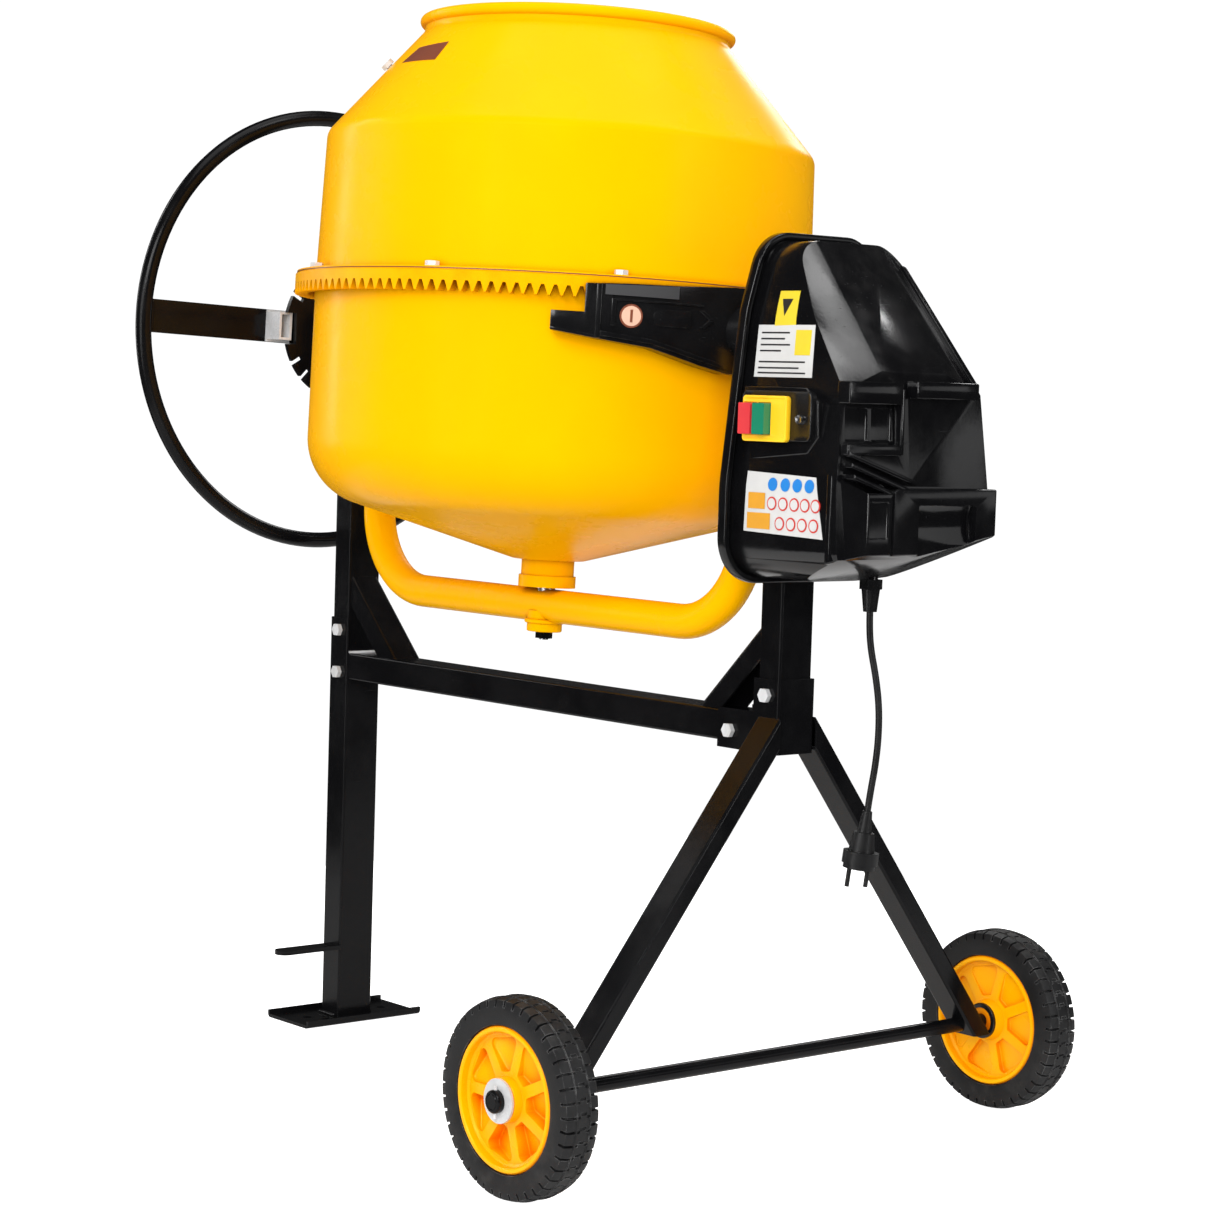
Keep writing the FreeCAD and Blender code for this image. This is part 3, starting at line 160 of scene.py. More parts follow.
class Blank:
    """A workpiece held in edit mode and shaped with the modelling operators."""

    def __init__(self, name: str, start: Vector) -> None:
        """Start from a primitive drawn together into one point.

        Args:
            name: Name of the piece.
            start: Where its first point stands.
        """
        bpy.ops.object.select_all(action="DESELECT")
        bpy.ops.mesh.primitive_plane_add(size=MM, location=start)
        self._adopt(name)
        bpy.ops.mesh.select_mode(type="VERT")
        bpy.ops.mesh.select_all(action="SELECT")
        bpy.ops.mesh.merge(type="CENTER")
        self.tip = start.copy()

    def _adopt(self, name: str) -> None:
        """Take the new primitive as this workpiece and open it for editing."""
        self.obj = bpy.context.object
        self.obj.name = self.obj.data.name = name
        bpy.ops.object.transform_apply(location=True, rotation=True, scale=True)
        bpy.ops.object.mode_set(mode="EDIT")

    @classmethod
    def outline(cls, name: str, points: list[Vector]) -> "Blank":
        """Start from a closed line through all the points."""
        return cls(name, points[0]).line(points[1:] + points[:1]).close()

    @classmethod
    def block(cls, name: str, low: Vector, high: Vector) -> "Blank":
        """Start from a cube stretched between two opposite corners."""
        self = cls.__new__(cls)
        bpy.ops.object.select_all(action="DESELECT")
        size = high - low
        bpy.ops.mesh.primitive_cube_add(size=1.0, location=(low + high) / 2, scale=size)
        self._adopt(name)
        return self

    @classmethod
    def disc(cls, name: str, centre: Vector, radius: float, axis: Vector, sides: int = 48,
             filled: bool = True) -> "Blank":
        """Start from a circle facing along an axis."""
        self = cls.__new__(cls)
        bpy.ops.object.select_all(action="DESELECT")
        turn = Vector((0, 0, 1)).rotation_difference(axis).to_euler()
        bpy.ops.mesh.primitive_circle_add(vertices=sides, radius=radius, location=centre, rotation=turn,
                                          fill_type="NGON" if filled else "NOTHING")
        self._adopt(name)
        return self

    def line(self, points: Iterable[Vector]) -> "Blank":
        """Extrude the last point through each point in turn."""
        for point in points:
            bpy.ops.mesh.extrude_region_move(TRANSFORM_OT_translate={"value": point - self.tip})
            self.tip = point.copy()
        return self

    def close(self) -> "Blank":
        """Join the line's two ends, which meet in one place."""
        return self.all().weld()

    def all(self) -> "Blank":
        """Select the whole workpiece."""
        bpy.ops.mesh.select_all(action="SELECT")
        return self

    def weld(self, reach: float = 0.00002) -> "Blank":
        """Merge the points that coincide."""
        bpy.ops.mesh.remove_doubles(threshold=reach)
        return self

    def fill(self) -> "Blank":
        """Close the selected loop with one face."""
        bpy.ops.mesh.edge_face_add()
        return self

    def push(self, step: Vector) -> "Blank":
        """Extrude the selected faces by a step."""
        bpy.ops.mesh.extrude_region_move(TRANSFORM_OT_translate={"value": step})
        return self

    def spin(self, centre: Vector, axis: Vector, steps: int, angle: float = FULL_TURN) -> "Blank":
        """Sweep the selection right-handed about an axis and merge where it meets itself."""
        bpy.ops.mesh.spin(steps=steps, angle=-angle, center=centre, axis=axis)
        if abs(angle) >= FULL_TURN - 1e-6:
            self.all().weld()
        return self

    def pick(self, test: Callable[[Vector, Vector], bool], keep: bool = False) -> int:
        """Select the faces whose centre and normal pass a test.

        Args:
            test: Takes a face's centre and normal.
            keep: Add to the present selection.

        Returns:
            How many faces are selected.
        """
        bpy.ops.mesh.select_mode(type="FACE")
        if not keep:
            bpy.ops.mesh.select_all(action="DESELECT")
        mesh = bmesh.from_edit_mesh(self.obj.data)
        count = 0
        for face in mesh.faces:
            if test(face.calc_center_median(), face.normal):
                face.select_set(True)
                count += 1
        bmesh.update_edit_mesh(self.obj.data)
        return count

    def inset(self, width: float, depth: float = 0.0, single: bool = False) -> "Blank":
        """Inset the selected faces and sink or raise them."""
        bpy.ops.mesh.inset(thickness=width, depth=depth, use_individual=single)
        return self

    def outward(self) -> "Blank":
        """Point every face outwards."""
        self.all()
        bpy.ops.mesh.normals_make_consistent(inside=False)
        return self

    def cut(self, at: Vector, away: Vector) -> "Blank":
        """Plane off everything beyond a point on the side that a direction faces."""
        self.all()
        bpy.ops.mesh.bisect(plane_co=at, plane_no=away, use_fill=True, clear_outer=True)
        return self

    def solid(self, bevel: float = 0.0, segments: int = 2, limit: float = 40.0) -> bpy.types.Object:
        """Leave edit mode and round the edges.

        Args:
            bevel: Width of the rounded edges.
            segments: Segments of the rounded edges.
            limit: Smallest edge angle in degrees that is rounded.

        Returns:
            The shaped object, not yet dressed.
        """
        bpy.ops.object.mode_set(mode="OBJECT")
        if bevel:
            edge = self.obj.modifiers.new("rounding", "BEVEL")
            edge.width, edge.segments, edge.limit_method = bevel, segments, "ANGLE"
            edge.angle_limit = math.radians(limit)
            bpy.ops.object.modifier_apply(modifier=edge.name)
        return self.obj

    def finish(self, body: str, paint: bpy.types.Material, slot: str, bevel: float = 0.0, segments: int = 2,
               limit: float = 40.0, lean: bool = False, smooth: float = 35.0,
               replaces: Sequence[str] = ()) -> bpy.types.Object:
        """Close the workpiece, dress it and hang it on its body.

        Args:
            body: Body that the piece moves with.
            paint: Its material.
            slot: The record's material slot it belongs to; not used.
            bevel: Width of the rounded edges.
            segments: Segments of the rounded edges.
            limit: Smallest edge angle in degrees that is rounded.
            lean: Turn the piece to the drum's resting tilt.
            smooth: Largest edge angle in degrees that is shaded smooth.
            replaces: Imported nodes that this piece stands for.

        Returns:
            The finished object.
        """
        self.solid(bevel, segments, limit)
        if lean:
            self.obj.data.transform(LEAN)
        return dress(self.obj, body, paint, smooth, replaces)


def alone(obj: bpy.types.Object) -> None:
    """Select one object, make it active and deselect the rest."""
    bpy.ops.object.select_all(action="DESELECT")
    obj.select_set(True)
    bpy.context.view_layer.objects.active = obj


def dress(obj: bpy.types.Object, body: str, paint: bpy.types.Material, smooth: float = 35.0,
          replaces: Sequence[str] = ()) -> bpy.types.Object:
    """Shade, paint and hang a finished piece; see ``Blank.finish`` for the arguments."""
    alone(obj)
    if obj.type == "MESH":
        bpy.ops.object.shade_smooth_by_angle(angle=math.radians(smooth))
    obj.data.materials.clear()
    obj.data.materials.append(paint)
    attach(obj, body)
    if replaces:
        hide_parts(*replaces)
    LOG.info("%s rides on %s", obj.name, body)
    return obj


# ------------------------------------------------------------------ shader groups
class Group:
    """A shader node group with named inputs and outputs."""

    def __init__(self, name: str, inputs: dict[str, float], outputs: Sequence[str]) -> None:
        """Make the group's shell.

        Args:
            name: Name of the group.
            inputs: Number inputs and their defaults.
            outputs: Names of the number outputs; a name ending in "Normal" is a vector.
        """
        self.tree = bpy.data.node_groups.new(name, "ShaderNodeTree")
        for label, value in inputs.items():
            socket = self.tree.interface.new_socket(name=label, in_out="INPUT", socket_type="NodeSocketFloat")
            socket.default_value = value
        for label in outputs:
            kind = "NodeSocketVector" if label.endswith("Normal") else "NodeSocketFloat"
            self.tree.interface.new_socket(name=label, in_out="OUTPUT", socket_type=kind)
        self.wires = Wires(self.tree)
        self.source = self.wires.node("NodeGroupInput")
        self.sink = self.wires.node("NodeGroupOutput")

    def put(self, label: str, socket: bpy.types.NodeSocket) -> None:
        """Send a value out under a name."""
        self.tree.links.new(socket, self.sink.inputs[label])


class Wires:
    """Short calls for laying out nodes in one tree."""

    def __init__(self, tree: bpy.types.NodeTree) -> None:
        """Work in the given tree."""
        self.tree = tree

    def node(self, kind: str, **settings: object) -> bpy.types.Node:
        """Add a node and set its properties."""
        made = self.tree.nodes.new(kind if kind.startswith("NodeGroup") else "ShaderNode" + kind)
        for key, value in settings.items():
            setattr(made, key, value)
        return made

    def feed(self, made: bpy.types.Node, **values: object) -> bpy.types.Node:
        """Connect or set inputs by name; a name's underscore stands for a space."""
        for key, value in values.items():
            socket = made.inputs[int(key[1:])] if key[0] == "_" else made.inputs[key.replace("_", " ")]
            if isinstance(value, bpy.types.NodeSocket):
                self.tree.links.new(value, socket)
            else:
                socket.default_value = value
        return made

    def noise(self, at: bpy.types.NodeSocket, scale: object, detail: float = 2.0,
              rough: float = 0.5) -> bpy.types.NodeSocket:
        """Noise value at a position."""
        made = self.node("TexNoise")
        return self.feed(made, Vector=at, Scale=scale, Detail=detail, Roughness=rough).outputs["Fac"]

    def math(self, how: str, first: object, second: object = 0.0) -> bpy.types.NodeSocket:
        """Result of a Math node."""
        return self.feed(self.node("Math", operation=how), _0=first, _1=second).outputs[0]

    def spread(self, value: object, low: float, high: float, to_low: object = 0.0,
               to_high: object = 1.0) -> bpy.types.NodeSocket:
        """Map a range smoothly onto another."""
        made = self.node("MapRange", interpolation_type="SMOOTHSTEP")
        return self.feed(made, Value=value, From_Min=low, From_Max=high, To_Min=to_low,
                         To_Max=to_high).outputs["Result"]

    def blend(self, factor: object, first: object, second: object) -> bpy.types.NodeSocket:
        """Mix two colours."""
        made = self.node("Mix", data_type="RGBA")
        values = {0: factor, 6: first, 7: second}
        for index, value in values.items():
            if isinstance(value, bpy.types.NodeSocket):
                self.tree.links.new(value, made.inputs[index])
            elif index:
                made.inputs[index].default_value = (*value[:3], 1.0)
            else:
                made.inputs[index].default_value = value
        return made.outputs[2]


def surface_relief_group() -> bpy.types.NodeTree:
    """Fine relief of a coated or moulded surface: orange peel, grain and broad waviness."""
    group = Group("surface relief", {"Pitch": 0.002, "Grain": 0.5, "Wave": 0.3}, ["Height", "Patches"])
    wires = group.wires
    place = wires.node("TexCoord").outputs["Object"]
    per_metre = wires.math("DIVIDE", 1.0, group.source.outputs["Pitch"])
    peel = wires.noise(place, per_metre, 1.5)
    cells = wires.feed(wires.node("TexVoronoi", feature="SMOOTH_F1"), Vector=place,
                       Scale=wires.math("MULTIPLY", per_metre, 1.7)).outputs["Distance"]
    wave = wires.noise(place, 9.0, 1.0)
    mixed = wires.math("ADD", peel, wires.math("MULTIPLY", cells, group.source.outputs["Grain"]))
    group.put("Height", wires.math("ADD", mixed, wires.math("MULTIPLY", wave, group.source.outputs["Wave"])))
    group.put("Patches", wires.spread(wires.noise(place, 14.0, 4.0, 0.6), 0.32, 0.68))
    return group.tree


def edge_wear_and_highlight_group() -> bpy.types.NodeTree:
    """Mask of the edges, broken up by noise: where a coating is thin or has been rubbed, and where a lighter edge
    colour stands in as painted highlight.
    """
    group = Group("edge wear and painted highlight", {"Reach": 0.001, "Break": 60.0}, ["Mask"])
    wires = group.wires
    place = wires.node("TexCoord").outputs["Object"]
    softened = wires.feed(wires.node("Bevel", samples=4), Radius=group.source.outputs["Reach"]).outputs["Normal"]
    flat = wires.node("NewGeometry").outputs["Normal"]
    dot = wires.node("VectorMath", operation="DOT_PRODUCT")
    wires.tree.links.new(softened, dot.inputs[0])
    wires.tree.links.new(flat, dot.inputs[1])
    edge = wires.spread(dot.outputs["Value"], 0.999, 0.93)
    broken = wires.spread(wires.noise(place, group.source.outputs["Break"], 5.0, 0.7), 0.42, 0.62)
    group.put("Mask", wires.math("MULTIPLY", edge, broken))
    return group.tree


def settled_dust_group() -> bpy.types.NodeTree:
    """Mask of fine dust that lies on faces that look up, thicker near the floor."""
    group = Group("settled dust", {"Floor": 0.15}, ["Mask"])
    wires = group.wires
    place = wires.node("TexCoord").outputs["Object"]
    up = wires.node("SeparateXYZ")
    wires.tree.links.new(wires.node("NewGeometry").outputs["Normal"], up.inputs[0])
    high = wires.node("SeparateXYZ")
    wires.tree.links.new(place, high.inputs[0])
    lying = wires.spread(up.outputs["Z"], 0.3, 1.0)
    near = wires.spread(high.outputs["Z"], group.source.outputs["Floor"], 0.0)
    speckle = wires.spread(wires.noise(place, 45.0, 6.0, 0.65), 0.45, 0.7)
    group.put("Mask", wires.math("MULTIPLY", wires.math("MAXIMUM", lying, near), speckle))
    return group.tree


def scuff_group() -> bpy.types.NodeTree:
    """Thin hairline scratches and handling marks."""
    group = Group("handling scuffs", {"Density": 0.5}, ["Mask"])
    wires = group.wires
    place = wires.node("TexCoord").outputs["Object"]
    lines = []
    for turn, squash in (((0.3, 0.2, 0.7), (30.0, 420.0, 420.0)), ((1.1, 0.5, 0.1), (420.0, 26.0, 420.0))):
        moved = wires.feed(wires.node("Mapping"), Vector=place, Rotation=turn, Scale=squash).outputs["Vector"]
        lines.append(wires.spread(wires.noise(moved, 1.0, 2.0), 0.70, 0.76))
    where = wires.spread(wires.noise(place, 8.0, 3.0), 0.5, 0.7)
    mask = wires.math("MULTIPLY", wires.math("MAXIMUM", *lines), where)
    group.put("Mask", wires.math("MULTIPLY", mask, group.source.outputs["Density"]))
    return group.tree


def painted_crevice_shade_group() -> bpy.types.NodeTree:
    """Painted shade mask: darkens corners, gaps and pockets where little light reaches, found by ambient occlusion.
    """
    group = Group("painted crevice shade", {"Reach": 0.02}, ["Mask"])
    wires = group.wires
    open_sky = wires.feed(wires.node("AmbientOcclusion", samples=6), Distance=group.source.outputs["Reach"])
    group.put("Mask", wires.spread(open_sky.outputs["AO"], 0.92, 0.30))
    return group.tree


RELIEF = surface_relief_group()
EDGE_WEAR_AND_HIGHLIGHT = edge_wear_and_highlight_group()
DUST = settled_dust_group()
SCUFFS = scuff_group()
PAINTED_CREVICE_SHADE = painted_crevice_shade_group()


# ------------------------------------------------------------------ finishes
@dataclass(frozen=True)
class Finish:
    """One surface finish, from which a material is made.

    Args:
        colour: Main colour, linear.
        drift: Colour that broad patches lean towards.
        rough: Roughness where the surface is clean.
        rough_drift: Extra roughness in the patches.
        pitch: Width of the fine relief in metres.
        depth: Height of the fine relief in metres.
        grain: Share of sharp grain in the relief.
        wave: Share of broad waviness in the relief.
        edge_wear_and_highlight: How strongly the edge colour shows, for edges that are rubbed or thinly coated and,
            on the black and rubber finishes, as painted edge highlight.
        edge_wear_and_highlight_colour: Colour of those edges; where it is lighter than the main colour it paints an
            edge highlight.
        dust: How strongly settled dust shows.
        scuffs: How strongly hairline marks show.
        metal: Whether the surface is bare metal.
        coat: Weight of the clear top coat.
        coat_rough: Roughness of the top coat.
        specular: Strength of the mirror reflection.
        tint: Colour of the mirror reflection.
        crevice_shade: How strongly painted shade darkens the corners, gaps and pockets.
        crevice_shade_reach: Size of the shaded corners and gaps in metres.
        crevice_shade_colour: Colour of the painted shade.
    """

    colour: Colour
    drift: Colour
    rough: float = 0.4
    rough_drift: float = 0.1
    pitch: float = 0.0012
    depth: float = 0.00004
    grain: float = 0.4
    wave: float = 0.4
    edge_wear_and_highlight: float = 0.0
    edge_wear_and_highlight_colour: Colour = (0.2, 0.2, 0.2)
    dust: float = 0.0
    scuffs: float = 0.0
    metal: bool = False
    coat: float = 0.0
    coat_rough: float = 0.05
    specular: float = 0.5
    tint: Colour = (1.0, 1.0, 1.0)
    crevice_shade: float = 0.0
    crevice_shade_reach: float = 0.02
    crevice_shade_colour: Colour = (0.1, 0.1, 0.1)

    def material(self, name: str) -> bpy.types.Material:
        """Make the node material of this finish.

        Args:
            name: Name of the material.

        Returns:
            The material.
        """
        made = bpy.data.materials.new(name)
        made.use_nodes = True
        wires = Wires(made.node_tree)
        shader = made.node_tree.nodes["Principled BSDF"]
        relief = wires.feed(wires.node("Group", node_tree=RELIEF), Pitch=self.pitch, Grain=self.grain,
                            Wave=self.wave)
        patches = relief.outputs["Patches"]
        colour = wires.blend(patches, self.colour, self.drift)
        rough = wires.spread(patches, 0.0, 1.0, self.rough, min(1.0, self.rough + self.rough_drift))
        # Edge colour: partly rubbed or thin coating, and where it is lighter than the main colour, painted edge
        # highlight.
        if self.edge_wear_and_highlight:
            edge = wires.node("Group", node_tree=EDGE_WEAR_AND_HIGHLIGHT).outputs["Mask"]
            colour = wires.blend(wires.math("MULTIPLY", edge, self.edge_wear_and_highlight), colour, self.edge_wear_and_highlight_colour)
        # Painted shade: corners, gaps and pockets are darkened towards a shade colour by ambient occlusion.
        if self.crevice_shade:
            crevice_shade_mask = wires.feed(wires.node("Group", node_tree=PAINTED_CREVICE_SHADE), Reach=self.crevice_shade_reach).outputs["Mask"]
            colour = wires.blend(wires.math("MULTIPLY", crevice_shade_mask, self.crevice_shade), colour, self.crevice_shade_colour)
        if self.scuffs:
            marks = wires.feed(wires.node("Group", node_tree=SCUFFS), Density=self.scuffs).outputs["Mask"]
            rough = wires.math("ADD", rough, wires.math("MULTIPLY", marks, 0.35))
        if self.dust:
            lying = wires.node("Group", node_tree=DUST).outputs["Mask"]
            amount = wires.math("MULTIPLY", lying, self.dust)
            colour = wires.blend(amount, colour, (0.42, 0.40, 0.37))
            rough = wires.math("ADD", rough, wires.math("MULTIPLY", amount, 0.6))
        bump = wires.feed(wires.node("Bump"), Height=relief.outputs["Height"], Distance=self.depth, Strength=1.0)
        wires.feed(shader, Base_Color=colour, Roughness=rough, Normal=bump.outputs["Normal"])
        shader.inputs["Metallic"].default_value = 1.0 if self.metal else 0.0
        shader.inputs["Specular IOR Level"].default_value = self.specular
        shader.inputs["Specular Tint"].default_value = (*self.tint, 1.0)
        shader.inputs["Coat Weight"].default_value = self.coat
        shader.inputs["Coat Roughness"].default_value = self.coat_rough
        return made


class Slot(Enum):
    """The record's material slots."""

    YELLOW_PAINT = "yellow_paint"
    RING_GEAR_PAINT = "ring_gear_paint"
    BLACK_PAINT = "black_paint"
    ZINC_PLATE = "zinc_plate"
    BRIGHT_STEEL = "bright_steel"
    CAST_IRON = "cast_iron"
    MOTOR_CASTING = "motor_casting"
    WINDING_STEEL = "winding_steel"
    GLOSS_BLACK_PLASTIC = "gloss_black_plastic"
    SATIN_BLACK_PLASTIC = "satin_black_plastic"
    YELLOW_PLASTIC = "yellow_plastic"
    TYRE_RUBBER = "tyre_rubber"
    CABLE_RUBBER = "cable_rubber"
    SWITCH_YELLOW = "switch_yellow"
    BUTTON_RED = "button_red"
    BUTTON_GREEN = "button_green"


# Painted shade: the crevice settings darken corners, joints, tooth gaps and wheel pockets.
FINISHES: dict[Slot, Finish] = {
    Slot.YELLOW_PAINT: Finish((1.0, 0.475, 0.0), (1.0, 0.46, 0.0), rough=0.24, rough_drift=0.06, pitch=0.0022,
                              depth=0.00003, grain=0.1, wave=3.0, edge_wear_and_highlight=0.12, edge_wear_and_highlight_colour=(0.9, 0.36, 0.01), scuffs=0.25,
                              specular=0.07, tint=(1.0, 0.72, 0.06), crevice_shade=0.75, crevice_shade_reach=0.012,
                              crevice_shade_colour=(0.42, 0.12, 0.0)),
    Slot.RING_GEAR_PAINT: Finish((0.95, 0.44, 0.0), (0.85, 0.34, 0.0), rough=0.34, pitch=0.0018, depth=0.0002,
                                 grain=0.8, edge_wear_and_highlight=0.3, edge_wear_and_highlight_colour=(0.8, 0.32, 0.01), specular=0.2,
                                 tint=(1.0, 0.72, 0.06), crevice_shade=0.95, crevice_shade_reach=0.016, crevice_shade_colour=(0.16, 0.03, 0.0)),
    # Painted highlight: the lighter edge colour of this and the other black finishes stands partly for light caught
    # on edges.
    Slot.BLACK_PAINT: Finish((0.003, 0.003, 0.0035), (0.005, 0.005, 0.0055), rough=0.16, rough_drift=0.08,
                             pitch=0.0016, depth=0.00004, grain=0.3, wave=1.0, edge_wear_and_highlight=0.2, edge_wear_and_highlight_colour=(0.05, 0.05, 0.052),
                             scuffs=0.6, specular=0.17),
    Slot.ZINC_PLATE: Finish((0.70, 0.71, 0.73), (0.48, 0.48, 0.475), rough=0.20, rough_drift=0.16, pitch=0.003,
                            depth=0.00002, edge_wear_and_highlight=0.3, edge_wear_and_highlight_colour=(0.8, 0.8, 0.8), scuffs=0.8, specular=1.0),
    Slot.BRIGHT_STEEL: Finish((0.60, 0.60, 0.61), (0.52, 0.52, 0.54), rough=0.2, rough_drift=0.1, pitch=0.001,
                              depth=0.00002, metal=True, scuffs=1.0),
    Slot.CAST_IRON: Finish((0.20, 0.20, 0.21), (0.15, 0.14, 0.14), rough=0.45, pitch=0.0015, depth=0.0002,
                           grain=0.9, metal=True, edge_wear_and_highlight=0.4, edge_wear_and_highlight_colour=(0.4, 0.4, 0.4)),
    Slot.MOTOR_CASTING: Finish((0.55, 0.55, 0.56), (0.46, 0.46, 0.47), rough=0.42, pitch=0.0014, depth=0.00015,
                               grain=0.8, metal=True),
    Slot.WINDING_STEEL: Finish((0.32, 0.16, 0.08), (0.22, 0.10, 0.05), rough=0.35, pitch=0.0008, depth=0.0002,
                               metal=True),
    Slot.GLOSS_BLACK_PLASTIC: Finish((0.0025, 0.0025, 0.003), (0.004, 0.004, 0.0045), rough=0.10,
                                     rough_drift=0.10, pitch=0.004, depth=0.00003, grain=0.0, wave=4.0, edge_wear_and_highlight=0.15,
                                     edge_wear_and_highlight_colour=(0.05, 0.05, 0.055), dust=0.02, scuffs=1.0, specular=0.45),
    Slot.SATIN_BLACK_PLASTIC: Finish((0.004, 0.004, 0.0045), (0.007, 0.007, 0.0075), rough=0.17, pitch=0.0009,
                                     depth=0.00003, grain=0.9, edge_wear_and_highlight=0.4, edge_wear_and_highlight_colour=(0.08, 0.08, 0.08),
                                     scuffs=0.4, specular=0.5),
    Slot.YELLOW_PLASTIC: Finish((1.0, 0.46, 0.0), (1.0, 0.43, 0.0), rough=0.24, pitch=0.002, depth=0.00004,
                                scuffs=0.3, specular=0.4, tint=(1.0, 0.8, 0.25), crevice_shade=0.9, crevice_shade_reach=0.022,
                                crevice_shade_colour=(0.78, 0.13, 0.0)),
    # Painted highlight: the tyre's light edge colour draws highlight lines along the tread ridges.
    Slot.TYRE_RUBBER: Finish((0.006, 0.006, 0.0065), (0.011, 0.011, 0.0115), rough=0.40, rough_drift=0.18,
                             pitch=0.0012, depth=0.0001, grain=0.8, edge_wear_and_highlight=0.8, edge_wear_and_highlight_colour=(0.16, 0.16, 0.16), dust=0.04,
                             scuffs=0.6, specular=0.32),
    Slot.CABLE_RUBBER: Finish((0.006, 0.006, 0.0065), (0.010, 0.010, 0.010), rough=0.38, pitch=0.0008,
                              depth=0.00003, specular=0.35),
    Slot.SWITCH_YELLOW: Finish((1.0, 0.62, 0.01), (1.0, 0.56, 0.01), rough=0.35, pitch=0.0008, depth=0.00002),
    Slot.BUTTON_RED: Finish((0.72, 0.045, 0.05), (0.62, 0.03, 0.04), rough=0.25, pitch=0.0008, depth=0.00001,
                            coat=0.4),
    Slot.BUTTON_GREEN: Finish((0.0, 0.24, 0.13), (0.0, 0.19, 0.10), rough=0.25, pitch=0.0008, depth=0.00001,
                              coat=0.4),
}
PAINTS = {slot: finish.material(slot.value) for slot, finish in FINISHES.items()}
INKS: dict[str, Colour] = {"yellow": (0.72, 0.56, 0.02), "white": (0.60, 0.60, 0.59), "blue": (0.01, 0.20, 0.60),
                           "red": (0.60, 0.04, 0.03), "orange": (0.70, 0.32, 0.02), "dark": (0.02, 0.02, 0.022),
                           "peach": (0.80, 0.50, 0.36), "brown": (0.22, 0.06, 0.03), "grey": (0.06, 0.06, 0.062)}
STICKER_INKS = {name: Finish(colour, tuple(0.9 * part for part in colour), rough=0.28, pitch=0.0009, depth=0.00002,
                             scuffs=0.4).material(f"sticker_{name}") for name, colour in INKS.items()}


def dress_packed_nodes() -> None:
    """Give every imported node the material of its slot."""
    for part in frame["record"]["subparts"]:
        node = frame["nodes"][part["node"]]
        paint = PAINTS[Slot(part["material_slot"])]
        for holder in node.material_slots:
            holder.material = paint
        if not node.material_slots:
            node.data.materials.append(paint)


